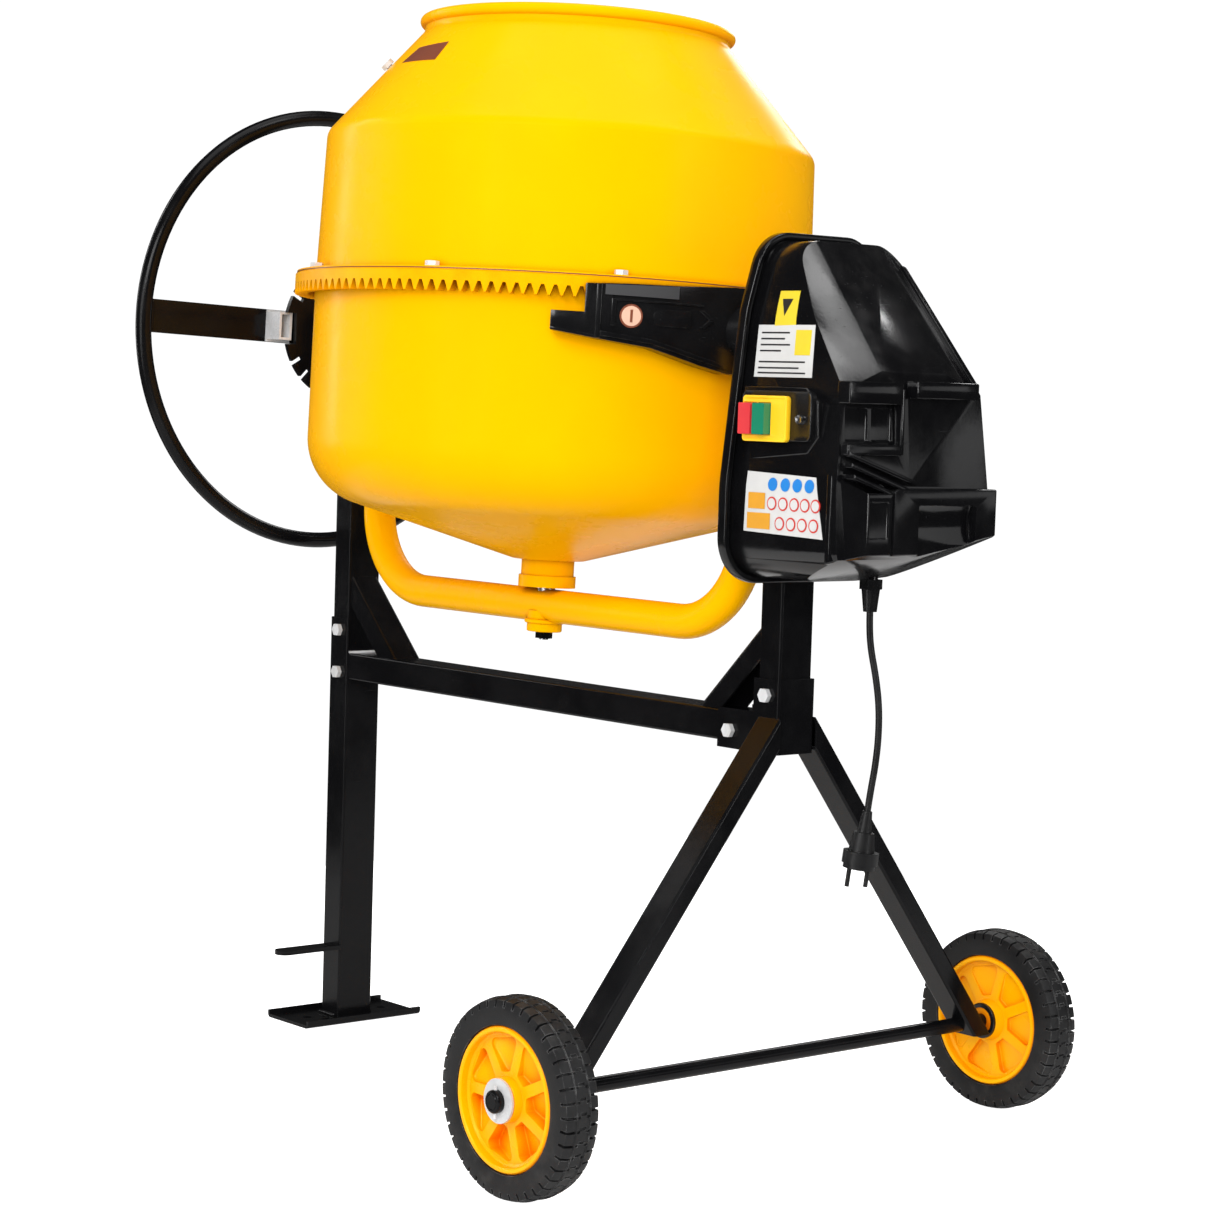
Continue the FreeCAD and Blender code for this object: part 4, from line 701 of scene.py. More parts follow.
# ------------------------------------------------------------------ studio
@dataclass
class Studio:
    """Camera, pale floor and soft lights."""

    camera_at: Vector = field(default_factory=lambda: spot(2586.85, -2118.45, 784.96))
    heading: float = 49.628
    pitch: float = -4.120
    roll: float = -1.799
    lens: float = 87.21
    sensor: float = 36.0

    def build(self) -> None:
        """Set up the camera, the floor, the world and the lights."""
        self.set_camera()
        self.set_floor()
        self.set_world()
        self.set_lights()
        bpy.context.scene.view_settings.view_transform = "Standard"

    def set_camera(self) -> None:
        """Place the camera at its viewing angle."""
        yaw, pitch, roll = (math.radians(a) for a in (self.heading, self.pitch, self.roll))
        ahead = Vector((-math.sin(yaw) * math.cos(pitch), math.cos(yaw) * math.cos(pitch), math.sin(pitch)))
        right = Vector((math.cos(yaw), math.sin(yaw), 0.0))
        up = right.cross(ahead)
        side = right * math.cos(roll) - up * math.sin(roll)
        top = up * math.cos(roll) + right * math.sin(roll)
        lens = bpy.data.cameras.new("view")
        lens.lens, lens.sensor_width, lens.clip_end = self.lens, self.sensor, 50.0
        camera = bpy.data.objects.new("view", lens)
        bpy.context.scene.collection.objects.link(camera)
        turn = Matrix((side, top, -ahead)).transposed()
        camera.matrix_world = Matrix.Translation(self.camera_at) @ turn.to_4x4()
        bpy.context.scene.camera = camera

    def set_floor(self) -> None:
        """Lay the pale floor."""
        bpy.ops.object.select_all(action="DESELECT")
        bpy.ops.mesh.primitive_plane_add(size=2.8, location=(0.0, 0.0, -0.0002))
        floor = bpy.context.object
        floor.name = "studio_floor"
        bpy.ops.object.transform_apply(location=True)
        finish = Finish((0.62, 0.62, 0.62), (0.60, 0.60, 0.60), rough=0.7, pitch=0.01, depth=0.0, specular=0.1)
        card = finish.material("floor_card")
        wires = Wires(card.node_tree)
        seen = wires.node("LightPath").outputs["Is Camera Ray"]
        shader = card.node_tree.nodes["Principled BSDF"]
        wires.feed(shader, Emission_Color=(1.0, 1.0, 1.0, 1.0),
                   Emission_Strength=wires.spread(seen, 0.0, 1.0, 0.1, 1.0))
        floor.data.materials.append(card)

    def set_world(self) -> None:
        """Wrap the scene in soft white light."""
        world = bpy.data.worlds.new("surround")
        bpy.context.scene.world = world
        world.use_nodes = True
        wires = Wires(world.node_tree)
        back = world.node_tree.nodes["Background"]
        path = wires.node("LightPath")
        soft = wires.spread(path.outputs["Is Glossy Ray"], 0.0, 1.0, 0.42, 0.035)
        strength = wires.spread(path.outputs["Is Camera Ray"], 0.0, 1.0, soft, 1.05)
        wires.feed(back, Color=(1.0, 1.0, 1.0, 1.0), Strength=strength)

    def set_lights(self) -> None:
        """Hang the soft boxes."""
        middle = spot(0.0, 0.0, 700.0)
        self.softbox("key", spot(1500.0, -2600.0, 2300.0), middle, (1.6, 1.2), 44.0)
        self.softbox("left", spot(-2300.0, -1700.0, 1500.0), middle, (1.2, 2.2), 30.0, "soft")
        self.softbox("front", spot(2400.0, -2300.0, 1100.0), middle, (1.6, 1.6), 64.0, "soft")
        self.softbox("right", spot(2700.0, 1300.0, 1500.0), middle, (0.8, 2.0), 13.0, "soft")
        self.softbox("top", spot(300.0, 0.0, 3300.0), middle, (2.2, 2.2), 26.0)
        self.softbox("floor_wash", spot(0.0, 2400.0, 2600.0), spot(0.0, 900.0, 0.0), (3.0, 1.5), 40.0, "soft")
        self.softbox("strip_left", spot(-2500.0, -900.0, 1500.0), middle, (0.25, 2.2), 11.0, "crisp")
        self.softbox("strip_right", spot(3100.0, 700.0, 1500.0), middle, (0.3, 2.2), 24.0, "crisp")
        self.softbox("strip_front", spot(1050.0, -3300.0, 1500.0), middle, (0.3, 2.2), 20.0, "crisp")
        self.softbox("strip_roof", spot(1432.0, 975.0, 2940.0), spot(520.0, -70.0, 860.0), (0.5, 1.0), 7.0, "crisp")
        self.softbox("card_right", spot(2700.0, 2120.0, 1080.0), spot(560.0, 0.0, 750.0), (1.9, 0.5), 2.2, "crisp")
        self.softbox("strip_near", spot(150.0, -3200.0, 800.0), spot(420.0, -110.0, 760.0), (0.5, 2.0), 16.0, "crisp")
        self.softbox("strip_back", spot(-1240.0, 2100.0, 1900.0), spot(560.0, -60.0, 800.0), (1.4, 0.5), 9.0, "crisp")
        self.softbox("window", spot(1021.0, 2164.0, 2945.0), spot(505.0, 43.0, 890.0), (0.11, 0.11), 0.7, "crisp")

    def softbox(self, name: str, at: Vector, target: Vector, size: Flat, power: float,
                kind: str = "both") -> None:
        """Add one rectangular soft light.

        Args:
            name: Name of the light.
            at: Where it hangs.
            target: What it faces.
            size: Width and height in metres.
            power: Watts.
            kind: "soft" for light that isn't mirrored, "crisp" for a reflection only, "both" for each.
        """
        lamp = bpy.data.lights.new(name, "AREA")
        lamp.shape, lamp.size, lamp.size_y, lamp.energy = "RECTANGLE", size[0], size[1], power
        holder = bpy.data.objects.new(name, lamp)
        bpy.context.scene.collection.objects.link(holder)
        holder.location = at
        holder.visible_glossy = kind != "soft"
        holder.visible_diffuse = kind != "crisp"
        holder.rotation_euler = (at - target).to_track_quat("Z", "Y").to_euler()


# ------------------------------------------------------------------ mains lead
@dataclass
class MainsLead:
    """Short hanging lead between its gland and its plug."""

    radius: float = 3.5
    length: float = 0.2065
    route: tuple[tuple[float, float, float], ...] = (
        (0.431, 0.025, 0.573), (0.431, 0.0252, 0.556), (0.4328, 0.0267, 0.534), (0.4367, 0.0313, 0.507),
        (0.4396, 0.0349, 0.476), (0.4399, 0.0354, 0.443), (0.4383, 0.0336, 0.413), (0.436, 0.0308, 0.389),
        (0.4344, 0.029, 0.368))

    def build(self) -> None:
        """Hang the lead."""
        curve = bpy.data.curves.new("mains_lead", "CURVE")
        curve.dimensions, curve.resolution_u = "3D", 12
        spline = curve.splines.new("NURBS")
        spline.points.add(len(self.route) - 1)
        for point, at in zip(spline.points, self.route):
            point.co = (*at, 1.0)
        spline.order_u = 3
        spline.use_endpoint_u = True
        curve.bevel_depth, curve.bevel_resolution, curve.use_fill_caps = self.radius * MM, 6, True
        lead = bpy.data.objects.new("mains_lead", curve)
        bpy.context.scene.collection.objects.link(lead)
        curve.materials.append(PAINTS[Slot.CABLE_RUBBER])
        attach(lead, "frame")
        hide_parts("mains_cord")
        LOG.info("mains_lead hangs from its gland")


# ------------------------------------------------------------------ drum
@dataclass
class Drum:
    """Lower bowl and upper cone, pressed from sheet and flanged together."""

    wall: float = 2.0
    radius: float = 279.0
    flange: float = 300.0
    joint_z: float = 46.0
    shoulder: Flat = (274.5, 206.0)
    neck: Flat = (172.0, 325.0)
    rim_z: float = 337.0
    bead: float = 6.0
    bottom_z: float = -258.0
    knuckle: float = 75.0
    sides: int = 192

    def build(self) -> None:
        """Press both shells."""
        self.turn("drum_upper_cone", self.cone_section(), "drum_cone")
        self.turn("drum_lower_bowl", self.bowl_section(), "drum_bowl")
        self.lay_patch()
        self.lay_flange_shadow_line()

    def lay_flange_shadow_line(self) -> None:
        """Turn a thin dark brown ring between the two flanges, a painted shadow line in the gap."""
        seam, r = self.joint_z + self.wall, self.flange
        section = [(r - 1.2, seam - 0.7), (r + 0.35, seam - 0.5), (r + 0.35, seam + 0.5), (r - 1.2, seam + 0.7)]
        points = [aloft(radius, 0.0, z) for radius, z in section]
        blank = Blank.outline("drum_flange_shadow_line", points)
        blank.spin(aloft(0.0, 0.0, 0.0), Vector((0, 0, 1)), self.sides).outward()
        # Painted shadow: the brown ring stands for the shade in the gap between the flanges.
        blank.finish("drum", STICKER_INKS["brown"], Slot.YELLOW_PAINT.value, lean=True)

    def lay_patch(self) -> None:
        """Lay the plain dark red sticker on the cone."""
        corners = [(-100.3, 296.5), (-84.9, 299.5), (-84.9, 277.7), (-103.3, 279.4)]
        points = [Vector((0.0, turn * MM, z * MM)) for turn, z in corners]
        blank = Blank.outline("drum_sticker", points).fill()
        for turn in range(-103, -84, 2):
            blank.all()
            bpy.ops.mesh.bisect(plane_co=(0, turn * MM, 0), plane_no=(0, 1, 0))
        patch = blank.solid()
        slope = (self.neck[0] - self.shoulder[0]) / (self.neck[1] - self.shoulder[1])
        for vertex in patch.data.vertices:
            turn, z = math.radians(vertex.co.y / MM), vertex.co.z / MM
            r = self.shoulder[0] + (z - self.shoulder[1]) * slope + 0.4
            vertex.co = aloft(r * math.cos(turn), r * math.sin(turn), z)
        film = patch.modifiers.new("film", "SOLIDIFY")
        film.thickness, film.offset = 0.3 * MM, 0.0
        bpy.ops.object.modifier_apply(modifier=film.name)
        clean(patch)
        patch.data.transform(LEAN)
        dress(patch, "drum", STICKER_INKS["brown"])

    def cone_section(self) -> list[Flat]:
        """Section of the cone with its rolled rim."""
        top = self.joint_z + 2 * self.wall
        outer, inner = walled([(self.flange, top), (self.radius, top), self.shoulder, self.neck,
                               (self.neck[0], self.rim_z - self.bead - 0.6)], [0.7, 18.0, 8.0], self.wall, 5.0)
        curl = arc((self.neck[0] - 0.5, self.rim_z), self.bead, -72.0, 250.0, 20)
        return outer + curl + inner[::-1]

    def bowl_section(self) -> list[Flat]:
        """Section of the bowl with its shallow conical bottom."""
        rise = math.tan(math.radians(16.0))
        outer, inner = walled([(22.0, self.bottom_z), (40.0, self.bottom_z),
                               (self.radius, self.bottom_z + (self.radius - 40.0) * rise),
                               (self.radius, self.joint_z), (self.flange, self.joint_z)],
                              [20.0, self.knuckle, 4.0], self.wall, 4.0)
        return outer + inner[::-1]

    def turn(self, name: str, section: list[Flat], node: str) -> None:
        """Spin a section about the drum axis."""
        points = [aloft(r, 0.0, z) for r, z in section]
        blank = Blank.outline(name, points)
        blank.spin(aloft(0.0, 0.0, 0.0), Vector((0, 0, 1)), self.sides).outward()
        blank.finish("drum", PAINTS[Slot.YELLOW_PAINT], Slot.YELLOW_PAINT.value, lean=True, smooth=28.0,
                     replaces=[node])

# ------------------------------------------------------------------ tilting gear
@dataclass
class Yoke:
    """Bent pipe under the drum, with its lower boss and weld beads."""

    radius: float = 19.0
    half_span: float = 330.0
    low: float = -310.0
    bend: float = 100.0
    boss_low: float = -340.0
    boss_radius: float = 20.0
    trunnion_radius: float = 24.0
    sides: int = 40

    def build(self) -> None:
        """Bend the pipe and weld on its boss."""
        self.bend_pipe()
        self.turn_boss()
        self.lay_bead("yoke_boss_weld", aloft(0.0, 0.0, self.low - self.radius + 1.0), Vector((0, 0, 1)),
                      self.boss_radius + 0.6)
        for side, name in ((-1, "foot"), (1, "motor")):
            self.lay_bead(f"yoke_{name}_weld", aloft(side * self.half_span, 0.0, -self.trunnion_radius + 1.5),
                          Vector((0, 0, 1)), self.radius + 0.6)

    def bend_pipe(self) -> None:
        """Extrude and spin one ring of points along the pipe's whole run."""
        down, out = Vector((0, 0, -1)), Vector((1, 0, 0))
        straight = (-self.low - self.bend) * MM
        blank = Blank.disc("yoke_pipe", aloft(-self.half_span, 0.0, 0.0), self.radius * MM, down, self.sides,
                           filled=False)
        blank.push(down * straight)
        blank.spin(aloft(-self.half_span + self.bend, 0.0, self.low + self.bend), Vector((0, -1, 0)), 20,
                   math.pi / 2)
        blank.push(out * (2 * (self.half_span - self.bend)) * MM)
        blank.spin(aloft(self.half_span - self.bend, 0.0, self.low + self.bend), Vector((0, -1, 0)), 20,
                   math.pi / 2)
        blank.push(-down * straight)
        blank.all().weld()
        bpy.ops.mesh.select_all(action="SELECT")
        bpy.ops.mesh.fill_holes(sides=0)
        blank.outward().finish("yoke", PAINTS[Slot.YELLOW_PAINT], Slot.YELLOW_PAINT.value, lean=True,
                               replaces=["yoke"])

    def turn_boss(self) -> None:
        """Turn the boss with its rounded lower edge and the flat that the nut bears on."""
        top, low, r = self.low - 6.0, self.boss_low, self.boss_radius
        section = rounded([(10.2, top), (r, top), (r, low), (10.2, low)], [0.0, 2.0], 15.0)
        points = [aloft(x, 0.0, z) for x, z in section]
        blank = Blank.outline("yoke_boss", points)
        blank.spin(aloft(0.0, 0.0, 0.0), Vector((0, 0, 1)), 48).outward()
        blank.finish("yoke", PAINTS[Slot.YELLOW_PAINT], Slot.YELLOW_PAINT.value, lean=True)

    def lay_bead(self, name: str, centre: Vector, axis: Vector, radius: float) -> None:
        """Lay a rippled weld bead round a joint.

        Args:
            name: Name of the bead.
            centre: Middle of its ring.
            axis: Direction the ring faces.
            radius: Radius of the ring in millimetres.
        """
        blank = Blank.disc(name, centre + Vector((radius * MM, 0, 0)), 2.6 * MM, Vector((0, 1, 0)), 10,
                           filled=False)
        blank.spin(centre, axis, 72).outward()
        weld_ripple(blank.obj)
        blank.finish("yoke", PAINTS[Slot.YELLOW_PAINT], Slot.YELLOW_PAINT.value, lean=True, smooth=60.0)


def weld_ripple(obj: bpy.types.Object, height: float = 0.0009) -> None:
    """Roughen a bead into the overlapping ripples of a hand weld."""
    bpy.ops.object.mode_set(mode="OBJECT")
    pattern = bpy.data.textures.get("weld ripple") or bpy.data.textures.new("weld ripple", "CLOUDS")
    pattern.noise_scale = 0.004
    ripple = obj.modifiers.new("ripple", "DISPLACE")
    ripple.texture, ripple.strength, ripple.texture_coords = pattern, height, "LOCAL"
    bpy.ops.object.modifier_apply(modifier=ripple.name)
    bpy.ops.object.mode_set(mode="EDIT")


@dataclass
class Handwheel:
    """Ring and flat bar of the tilting wheel."""

    radius: float = 262.6
    tube: float = 9.5
    plane_x: float = -467.4
    bar: tuple[float, float] = (-470.0, -465.0)
    bar_half: float = 20.0

    def build(self) -> None:
        """Roll the ring, cut the bar and weld them together."""
        paint, slot = PAINTS[Slot.BLACK_PAINT], Slot.BLACK_PAINT.value
        ring = Blank.disc("handwheel_rim", aloft(self.plane_x, 0.0, self.radius), self.tube * MM,
                          Vector((0, 1, 0)), 28, filled=False)
        ring.spin(aloft(self.plane_x, 0.0, 0.0), Vector((1, 0, 0)), 144).outward()
        ring.finish("handwheel", paint, slot, lean=True, replaces=["handwheel_ring"])
        reach = self.radius - self.tube + 2.5
        bar = Blank.block("handwheel_spoke", aloft(self.bar[0], -reach, -self.bar_half),
                          aloft(self.bar[1], reach, self.bar_half))
        bar.finish("handwheel", paint, slot, bevel=0.9 * MM, segments=3, lean=True,
                   replaces=["handwheel_bar"])
        for side, name in ((-1, "near"), (1, "far")):
            for z in (-1, 1):
                start = aloft(self.bar[1] + 0.5, side * (reach - 2.0), z * (self.bar_half - 1.0))
                bead = Blank.disc(f"handwheel_weld_{name}_{'top' if z > 0 else 'low'}", start, 2.6 * MM,
                                  Vector((0, 0, 1)), 10, filled=False)
                for _ in range(9):
                    bead.push(Vector((0, 0, -z * 3.6 * MM)))
                bead.all()
                bpy.ops.mesh.fill_holes(sides=0)
                bead.outward()
                weld_ripple(bead.obj)
                bead.finish("handwheel", paint, slot, lean=True, smooth=60.0)


@dataclass
class GearGuard:
    """Moulded guard over the pinion, drawn flat and wrapped round the ring gear."""

    radius: float = 307.5
    wall: float = 3.2
    low_edge: tuple[Flat, ...] = ((-41.5, -10.7), (-32.5, -17.3), (-21.8, -23.6), (-11.0, -38.2), (-4.6, -44.5),
                                  (4.6, -44.5), (11.0, -38.2), (21.8, -23.6), (32.5, -17.3), (41.5, -10.7))
    block_top: float = 9.5
    top_edge: tuple[Flat, ...] = ((-35.0, 39.0), (-27.0, 41.0), (-16.0, 42.5), (-3.4, 46.5))

    def build(self) -> None:
        """Mould the skin, its floor and its raised features."""
        reach, step = self.low_edge[-1][0], -self.top_edge[0][0]
        far_top = [(-turn, z) for turn, z in self.top_edge]
        skin = [*self.low_edge, (reach, self.block_top), (step, self.block_top), *far_top, *self.top_edge[::-1],
                (-step, self.block_top), (-reach, self.block_top)]
        self.plate("gear_guard_skin", skin, -self.wall, 0.0, replaces=["gear_guard"])
        lip = [(a, z + 3.4) for a, z in self.low_edge]
        self.plate("gear_guard_floor", list(self.low_edge) + lip[::-1], -21.0, 0.6)
        for side, name in ((-1, "near"), (1, "far")):
            self.features(name, side)
        self.turn_shroud()
        arc_length = self.radius * math.radians(1.0)
        for label, radius, ink, lift in (("disc", 12.3, "brown", 0.7), ("face", 10.4, "peach", 1.1)):
            spotted = [(-25.9 + y / arc_length, z) for y, z in arc((0.0, 8.0), radius, 0.0, 345.0, 23)]
            self.plate(f"gear_guard_{label}", spotted, -0.5, lift, ink=STICKER_INKS[ink])
        self.plate("gear_guard_stroke", [(-26.15, 1.5), (-25.65, 1.5), (-25.65, 14.5), (-26.15, 14.5)], -0.5, 1.4,
                   ink=STICKER_INKS["brown"])

    def turn_shroud(self) -> None:
        """Turn the sleeve that covers the trunnion between the guard and the housing."""
        section = rounded([(305.0, 24.5), (305.0, 28.0), (397.0, 28.0), (397.0, 24.5)], [0.0, 1.6], 20.0)
        points = [aloft(x, 0.0, r) for x, r in section]
        blank = Blank.outline("gear_guard_shroud", points)
        blank.spin(aloft(0.0, 0.0, 0.0), Vector((1, 0, 0)), 56).outward()
        blank.finish("yoke", PAINTS[Slot.SATIN_BLACK_PLASTIC], Slot.SATIN_BLACK_PLASTIC.value, lean=True)

    def features(self, name: str, side: int) -> None:
        """Raise the ribs, panel, slot and arrow on one half."""
        def flip(points: Sequence[Flat]) -> list[Flat]:
            return [(side * -a, z) for a, z in points]

        self.plate(f"gear_guard_edge_{name}", flip([(-32.9, -16.4), (-31.9, -17.0), (-31.9, 39.0), (-32.9, 38.6)]),
                   -0.5, 3.2)
        low = [(-31.9, -14.0), (-21.8, -19.6), (-11.0, -34.0), (-4.8, -40.5)]
        rib = low + [(a, z + 5.0) for a, z in low[::-1]]
        self.plate(f"gear_guard_rib_{name}", flip(rib), -0.5, 3.6)
        self.plate(f"gear_guard_strip_{name}", flip([(-31.2, 28.5), (-16.4, 28.5), (-16.4, 41.4), (-31.2, 39.0)]),
                   -0.5, 1.8, ink=STICKER_INKS["grey"])
        frame_line = [(-29.9, -3.0), (-29.0, -3.0), (-29.0, 23.0), (-11.0, 23.0), (-11.0, 25.0), (-29.9, 25.0)]
        self.plate(f"gear_guard_frame_{name}", flip(frame_line), -0.5, 2.2)
        oval = arc((-19.9, 8.3), 1.0, 90.0, 180.0, 8)
        oval = [(-19.9 + (a + 19.9) * 1.65, 8.3 + (z - 8.3) * 8.8) for a, z in oval]
        slot = oval + [(-13.7, -0.5), (-13.7, 17.1)]
        self.plate(f"gear_guard_slot_{name}", flip(slot), -0.5, 2.6)
        arrow = [(-11.9, 18.6), (-10.9, 19.2), (-8.3, 10.0), (-10.5, 0.6), (-11.4, 1.2), (-9.6, 10.0)]
        self.plate(f"gear_guard_arrow_{name}", flip(arrow), -0.5, 2.6)

    def plate(self, name: str, outline: Sequence[Flat], inner: float, outer: float,
              replaces: Sequence[str] = (), ink: Optional[bpy.types.Material] = None) -> None:
        """Mould one plate from its flat outline.

        Args:
            name: Name of the plate.
            outline: (degrees round the drum, height) corners.
            inner: Inner face, measured from the skin's radius.
            outer: Outer face, measured from the skin's radius.
            replaces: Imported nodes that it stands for.
            ink: Material of a sticker; the guard's own plastic when left out.
        """
        arc_length = self.radius * math.radians(1.0)
        points = [Vector((inner, a * arc_length, z)) * MM for a, z in outline]
        blank = Blank.outline(name, points).fill()
        blank.all().push(Vector(((outer - inner) * MM, 0, 0)))
        low, high = min(a for a, _ in outline), max(a for a, _ in outline)
        for cut in range(math.ceil(low / 1.5), math.floor(high / 1.5) + 1):
            blank.all()
            bpy.ops.mesh.bisect(plane_co=(0, cut * 1.5 * arc_length * MM, 0), plane_no=(0, 1, 0))
        blank.outward()
        bpy.ops.object.mode_set(mode="OBJECT")
        for vertex in blank.obj.data.vertices:
            turn = vertex.co.y / (self.radius * MM)
            reach = self.radius * MM + vertex.co.x
            vertex.co = PIVOT + Vector((reach * math.cos(turn), reach * math.sin(turn), vertex.co.z))
        bpy.ops.object.mode_set(mode="EDIT")
        blank.finish("yoke", ink or PAINTS[Slot.SATIN_BLACK_PLASTIC], Slot.SATIN_BLACK_PLASTIC.value,
                     bevel=0.0 if ink else 0.6 * MM, limit=50.0, lean=True, replaces=replaces)


# ------------------------------------------------------------------ wheels
class Side(Enum):
    """The two ends of the axle."""

    NEAR = -1
    FAR = 1


@dataclass
class RoadWheel:
    """Moulded wheel with wedge pockets and a solid tyre with a block tread."""

    side: Side
    centre_x: float = 390.3
    centre_z: float = 100.0
    middle_y: float = 343.85
    bore: float = 8.1
    lugs: int = 44
    columns: int = 5
    pockets: int = 7

    def build(self) -> None:
        """Mould the tyre, the wheel and its hub collar."""
        self.mould_tyre()
        self.mould_wheel()
        self.fit_collar()

    @property
    def body(self) -> str:
        """Name of the body that this wheel is."""
        return "near_wheel" if self.side is Side.NEAR else "far_wheel"

    def at(self, r: float, y: float) -> Vector:
        """Point at a radius and a distance outwards from the wheel's middle."""
        return spot(self.centre_x + r, self.side.value * (self.middle_y + y), self.centre_z)

    def polar(self, point: Vector) -> tuple[float, float, float]:
        """Radius, outward distance and angle of a point, in millimetres and degrees."""
        local = (point - spot(self.centre_x, 0.0, self.centre_z)) / MM
        turn = math.degrees(math.atan2(local.z, local.x)) % 360.0
        return math.hypot(local.x, local.z), self.side.value * local.y - self.middle_y, turn

    def revolve(self, name: str, section: Sequence[Flat], steps: int) -> Blank:
        """Spin a section about the axle."""
        points = [self.at(r, y) for r, y in section]
        blank = Blank.outline(name, points)
        blank.spin(spot(self.centre_x, 0.0, self.centre_z), Vector((0, 1, 0)), steps)
        return blank.outward()

    def mould_tyre(self) -> None:
        """Spin the carcass, then sink the slits between its blocks."""
        half = [(72.0, 18.3), (73.2, 20.4), (76.0, 21.1), (84.0, 21.25), (90.5, 21.25), (97.2, 19.6), (99.0, 14.0),
                (99.2, 9.0), (100.2, 8.5), (100.2, 8.1), (99.2, 7.6), (99.3, 3.8)]
        section = half + [(99.3, 0.0)] + [(r, -y) for r, y in half[::-1]]
        blank = self.revolve(f"{self.body}_tyre", section, self.lugs * self.columns)
        pitch = 360.0 / self.lugs

        def column(turn: float) -> int:
            return int((turn % pitch) / pitch * self.columns)

        def is_slit(at: Vector, facing: Vector) -> bool:
            r, y, turn = self.polar(at)
            if r < 91.5 or abs(y) < 9.0:
                return False
            return column(turn) == (0 if y > 0 else 2)

        def is_mark(at: Vector, facing: Vector) -> bool:
            r, y, turn = self.polar(at)
            return r > 98.0 and abs(y) < 7.0 and column(turn) == (1 if abs(y) < 3.8 else 0)

        if blank.pick(is_slit):
            blank.inset(0.0003, -0.0036)
        if blank.pick(is_mark):
            blank.inset(0.0004, -0.0018)
        blank.finish(self.body, PAINTS[Slot.TYRE_RUBBER], Slot.TYRE_RUBBER.value, smooth=32.0,
                     replaces=[f"{self.body.split('_')[0]}_tyre"])

    def mould_wheel(self) -> None:
        """Spin the wheel's section, then sink the pockets on both faces."""
        outer = [(self.bore, 23.2), (20.0, 23.2), (22.0, 21.6), (23.0, 13.6), (27.0, 13.0), (34.0, 12.6),
                 (44.0, 12.0), (55.0, 11.6), (63.0, 11.4), (65.5, 13.5), (66.2, 19.8), (67.2, 21.0),
                 (70.2, 21.0), (72.0, 18.6)]
        inner = [(r, -y) for r, y in outer[1:][::-1] if r not in (20.0, 22.0)]
        section = outer + inner + [(19.0, -26.2), (self.bore, -26.2)]
        wheel = self.revolve(f"{self.body}_moulding", section, 112).solid()
        for face in (1, -1):
            combine(wheel, self.pocket_tool(face), "DIFFERENCE")
        clean(wheel)
        round_and_dress(wheel, 1.1 * MM, self.body, Slot.YELLOW_PLASTIC, [f"{self.body.split('_')[0]}_rim"])

    def pocket_tool(self, face: int) -> bpy.types.Object:
        """Ring of rounded wedges that the pockets are cut with.

        Args:
            face: 1 for the wheel's outer face, -1 for its inner face.

        Returns:
            All wedges in one object.
        """
        corners = [(r * math.cos(math.radians(a)), r * math.sin(math.radians(a)), corner)
                   for r, a, corner in ((27.5, -15.0, 2.5), (64.3, -21.5, 6.0), (64.3, 20.0, 6.0), (27.5, 12.0, 2.5))]
        middle, slope = (3.0, 0.30) if face > 0 else (8.0, 0.12)
        turned = self.side.value
        points = [spot(self.centre_x + u, turned * (self.middle_y + face * (middle + slope * v)), self.centre_z + v)
                  for u, v in closed_outline(corners, 15.0)]
        blank = Blank.outline("pocket", points).fill()
        blank.all().push(Vector((0, turned * face * 0.03, 0))).outward()
        first = blank.solid(2.0 * MM, 3, 40.0)
        hub = spot(self.centre_x, 0.0, self.centre_z)
        return join([first] + [turned_copy(first, hub, Vector((0, 1, 0)), math.tau * index / self.pockets)
                               for index in range(1, self.pockets)])

    def fit_collar(self) -> None:
        """Press the black collar on the hub's inner end."""
        section = rounded([(15.0, -27.2), (19.8, -27.2), (19.8, -15.0), (19.05, -15.0), (19.05, -26.4),
                           (15.0, -26.4)], [1.2, 0.0, 0.0, 0.0], 20.0)
        blank = self.revolve(f"{self.body}_collar", section, 48)
        blank.finish(self.body, PAINTS[Slot.SATIN_BLACK_PLASTIC], Slot.SATIN_BLACK_PLASTIC.value)


@dataclass
class AxleEnds:
    """Domed caps on the axle's ends, outside the washers."""

    radius: float = 11.5
    start: float = 370.4
    length: float = 7.4

    def build(self) -> None:
        """Turn both caps."""
        for side in Side:
            end = self.start + self.length
            section = rounded([(8.05, self.start), (self.radius, self.start), (self.radius, end), (8.05, end)],
                              [0.4, 2.4], 18.0)
            points = [spot(390.3 + r, side.value * y, 100.0) for r, y in section]
            blank = Blank.outline(f"axle_cap_{side.name.lower()}", points)
            blank.spin(spot(390.3, 0.0, 100.0), Vector((0, 1, 0)), 40).outward()
            blank.finish("frame", PAINTS[Slot.BLACK_PAINT], Slot.BLACK_PAINT.value)

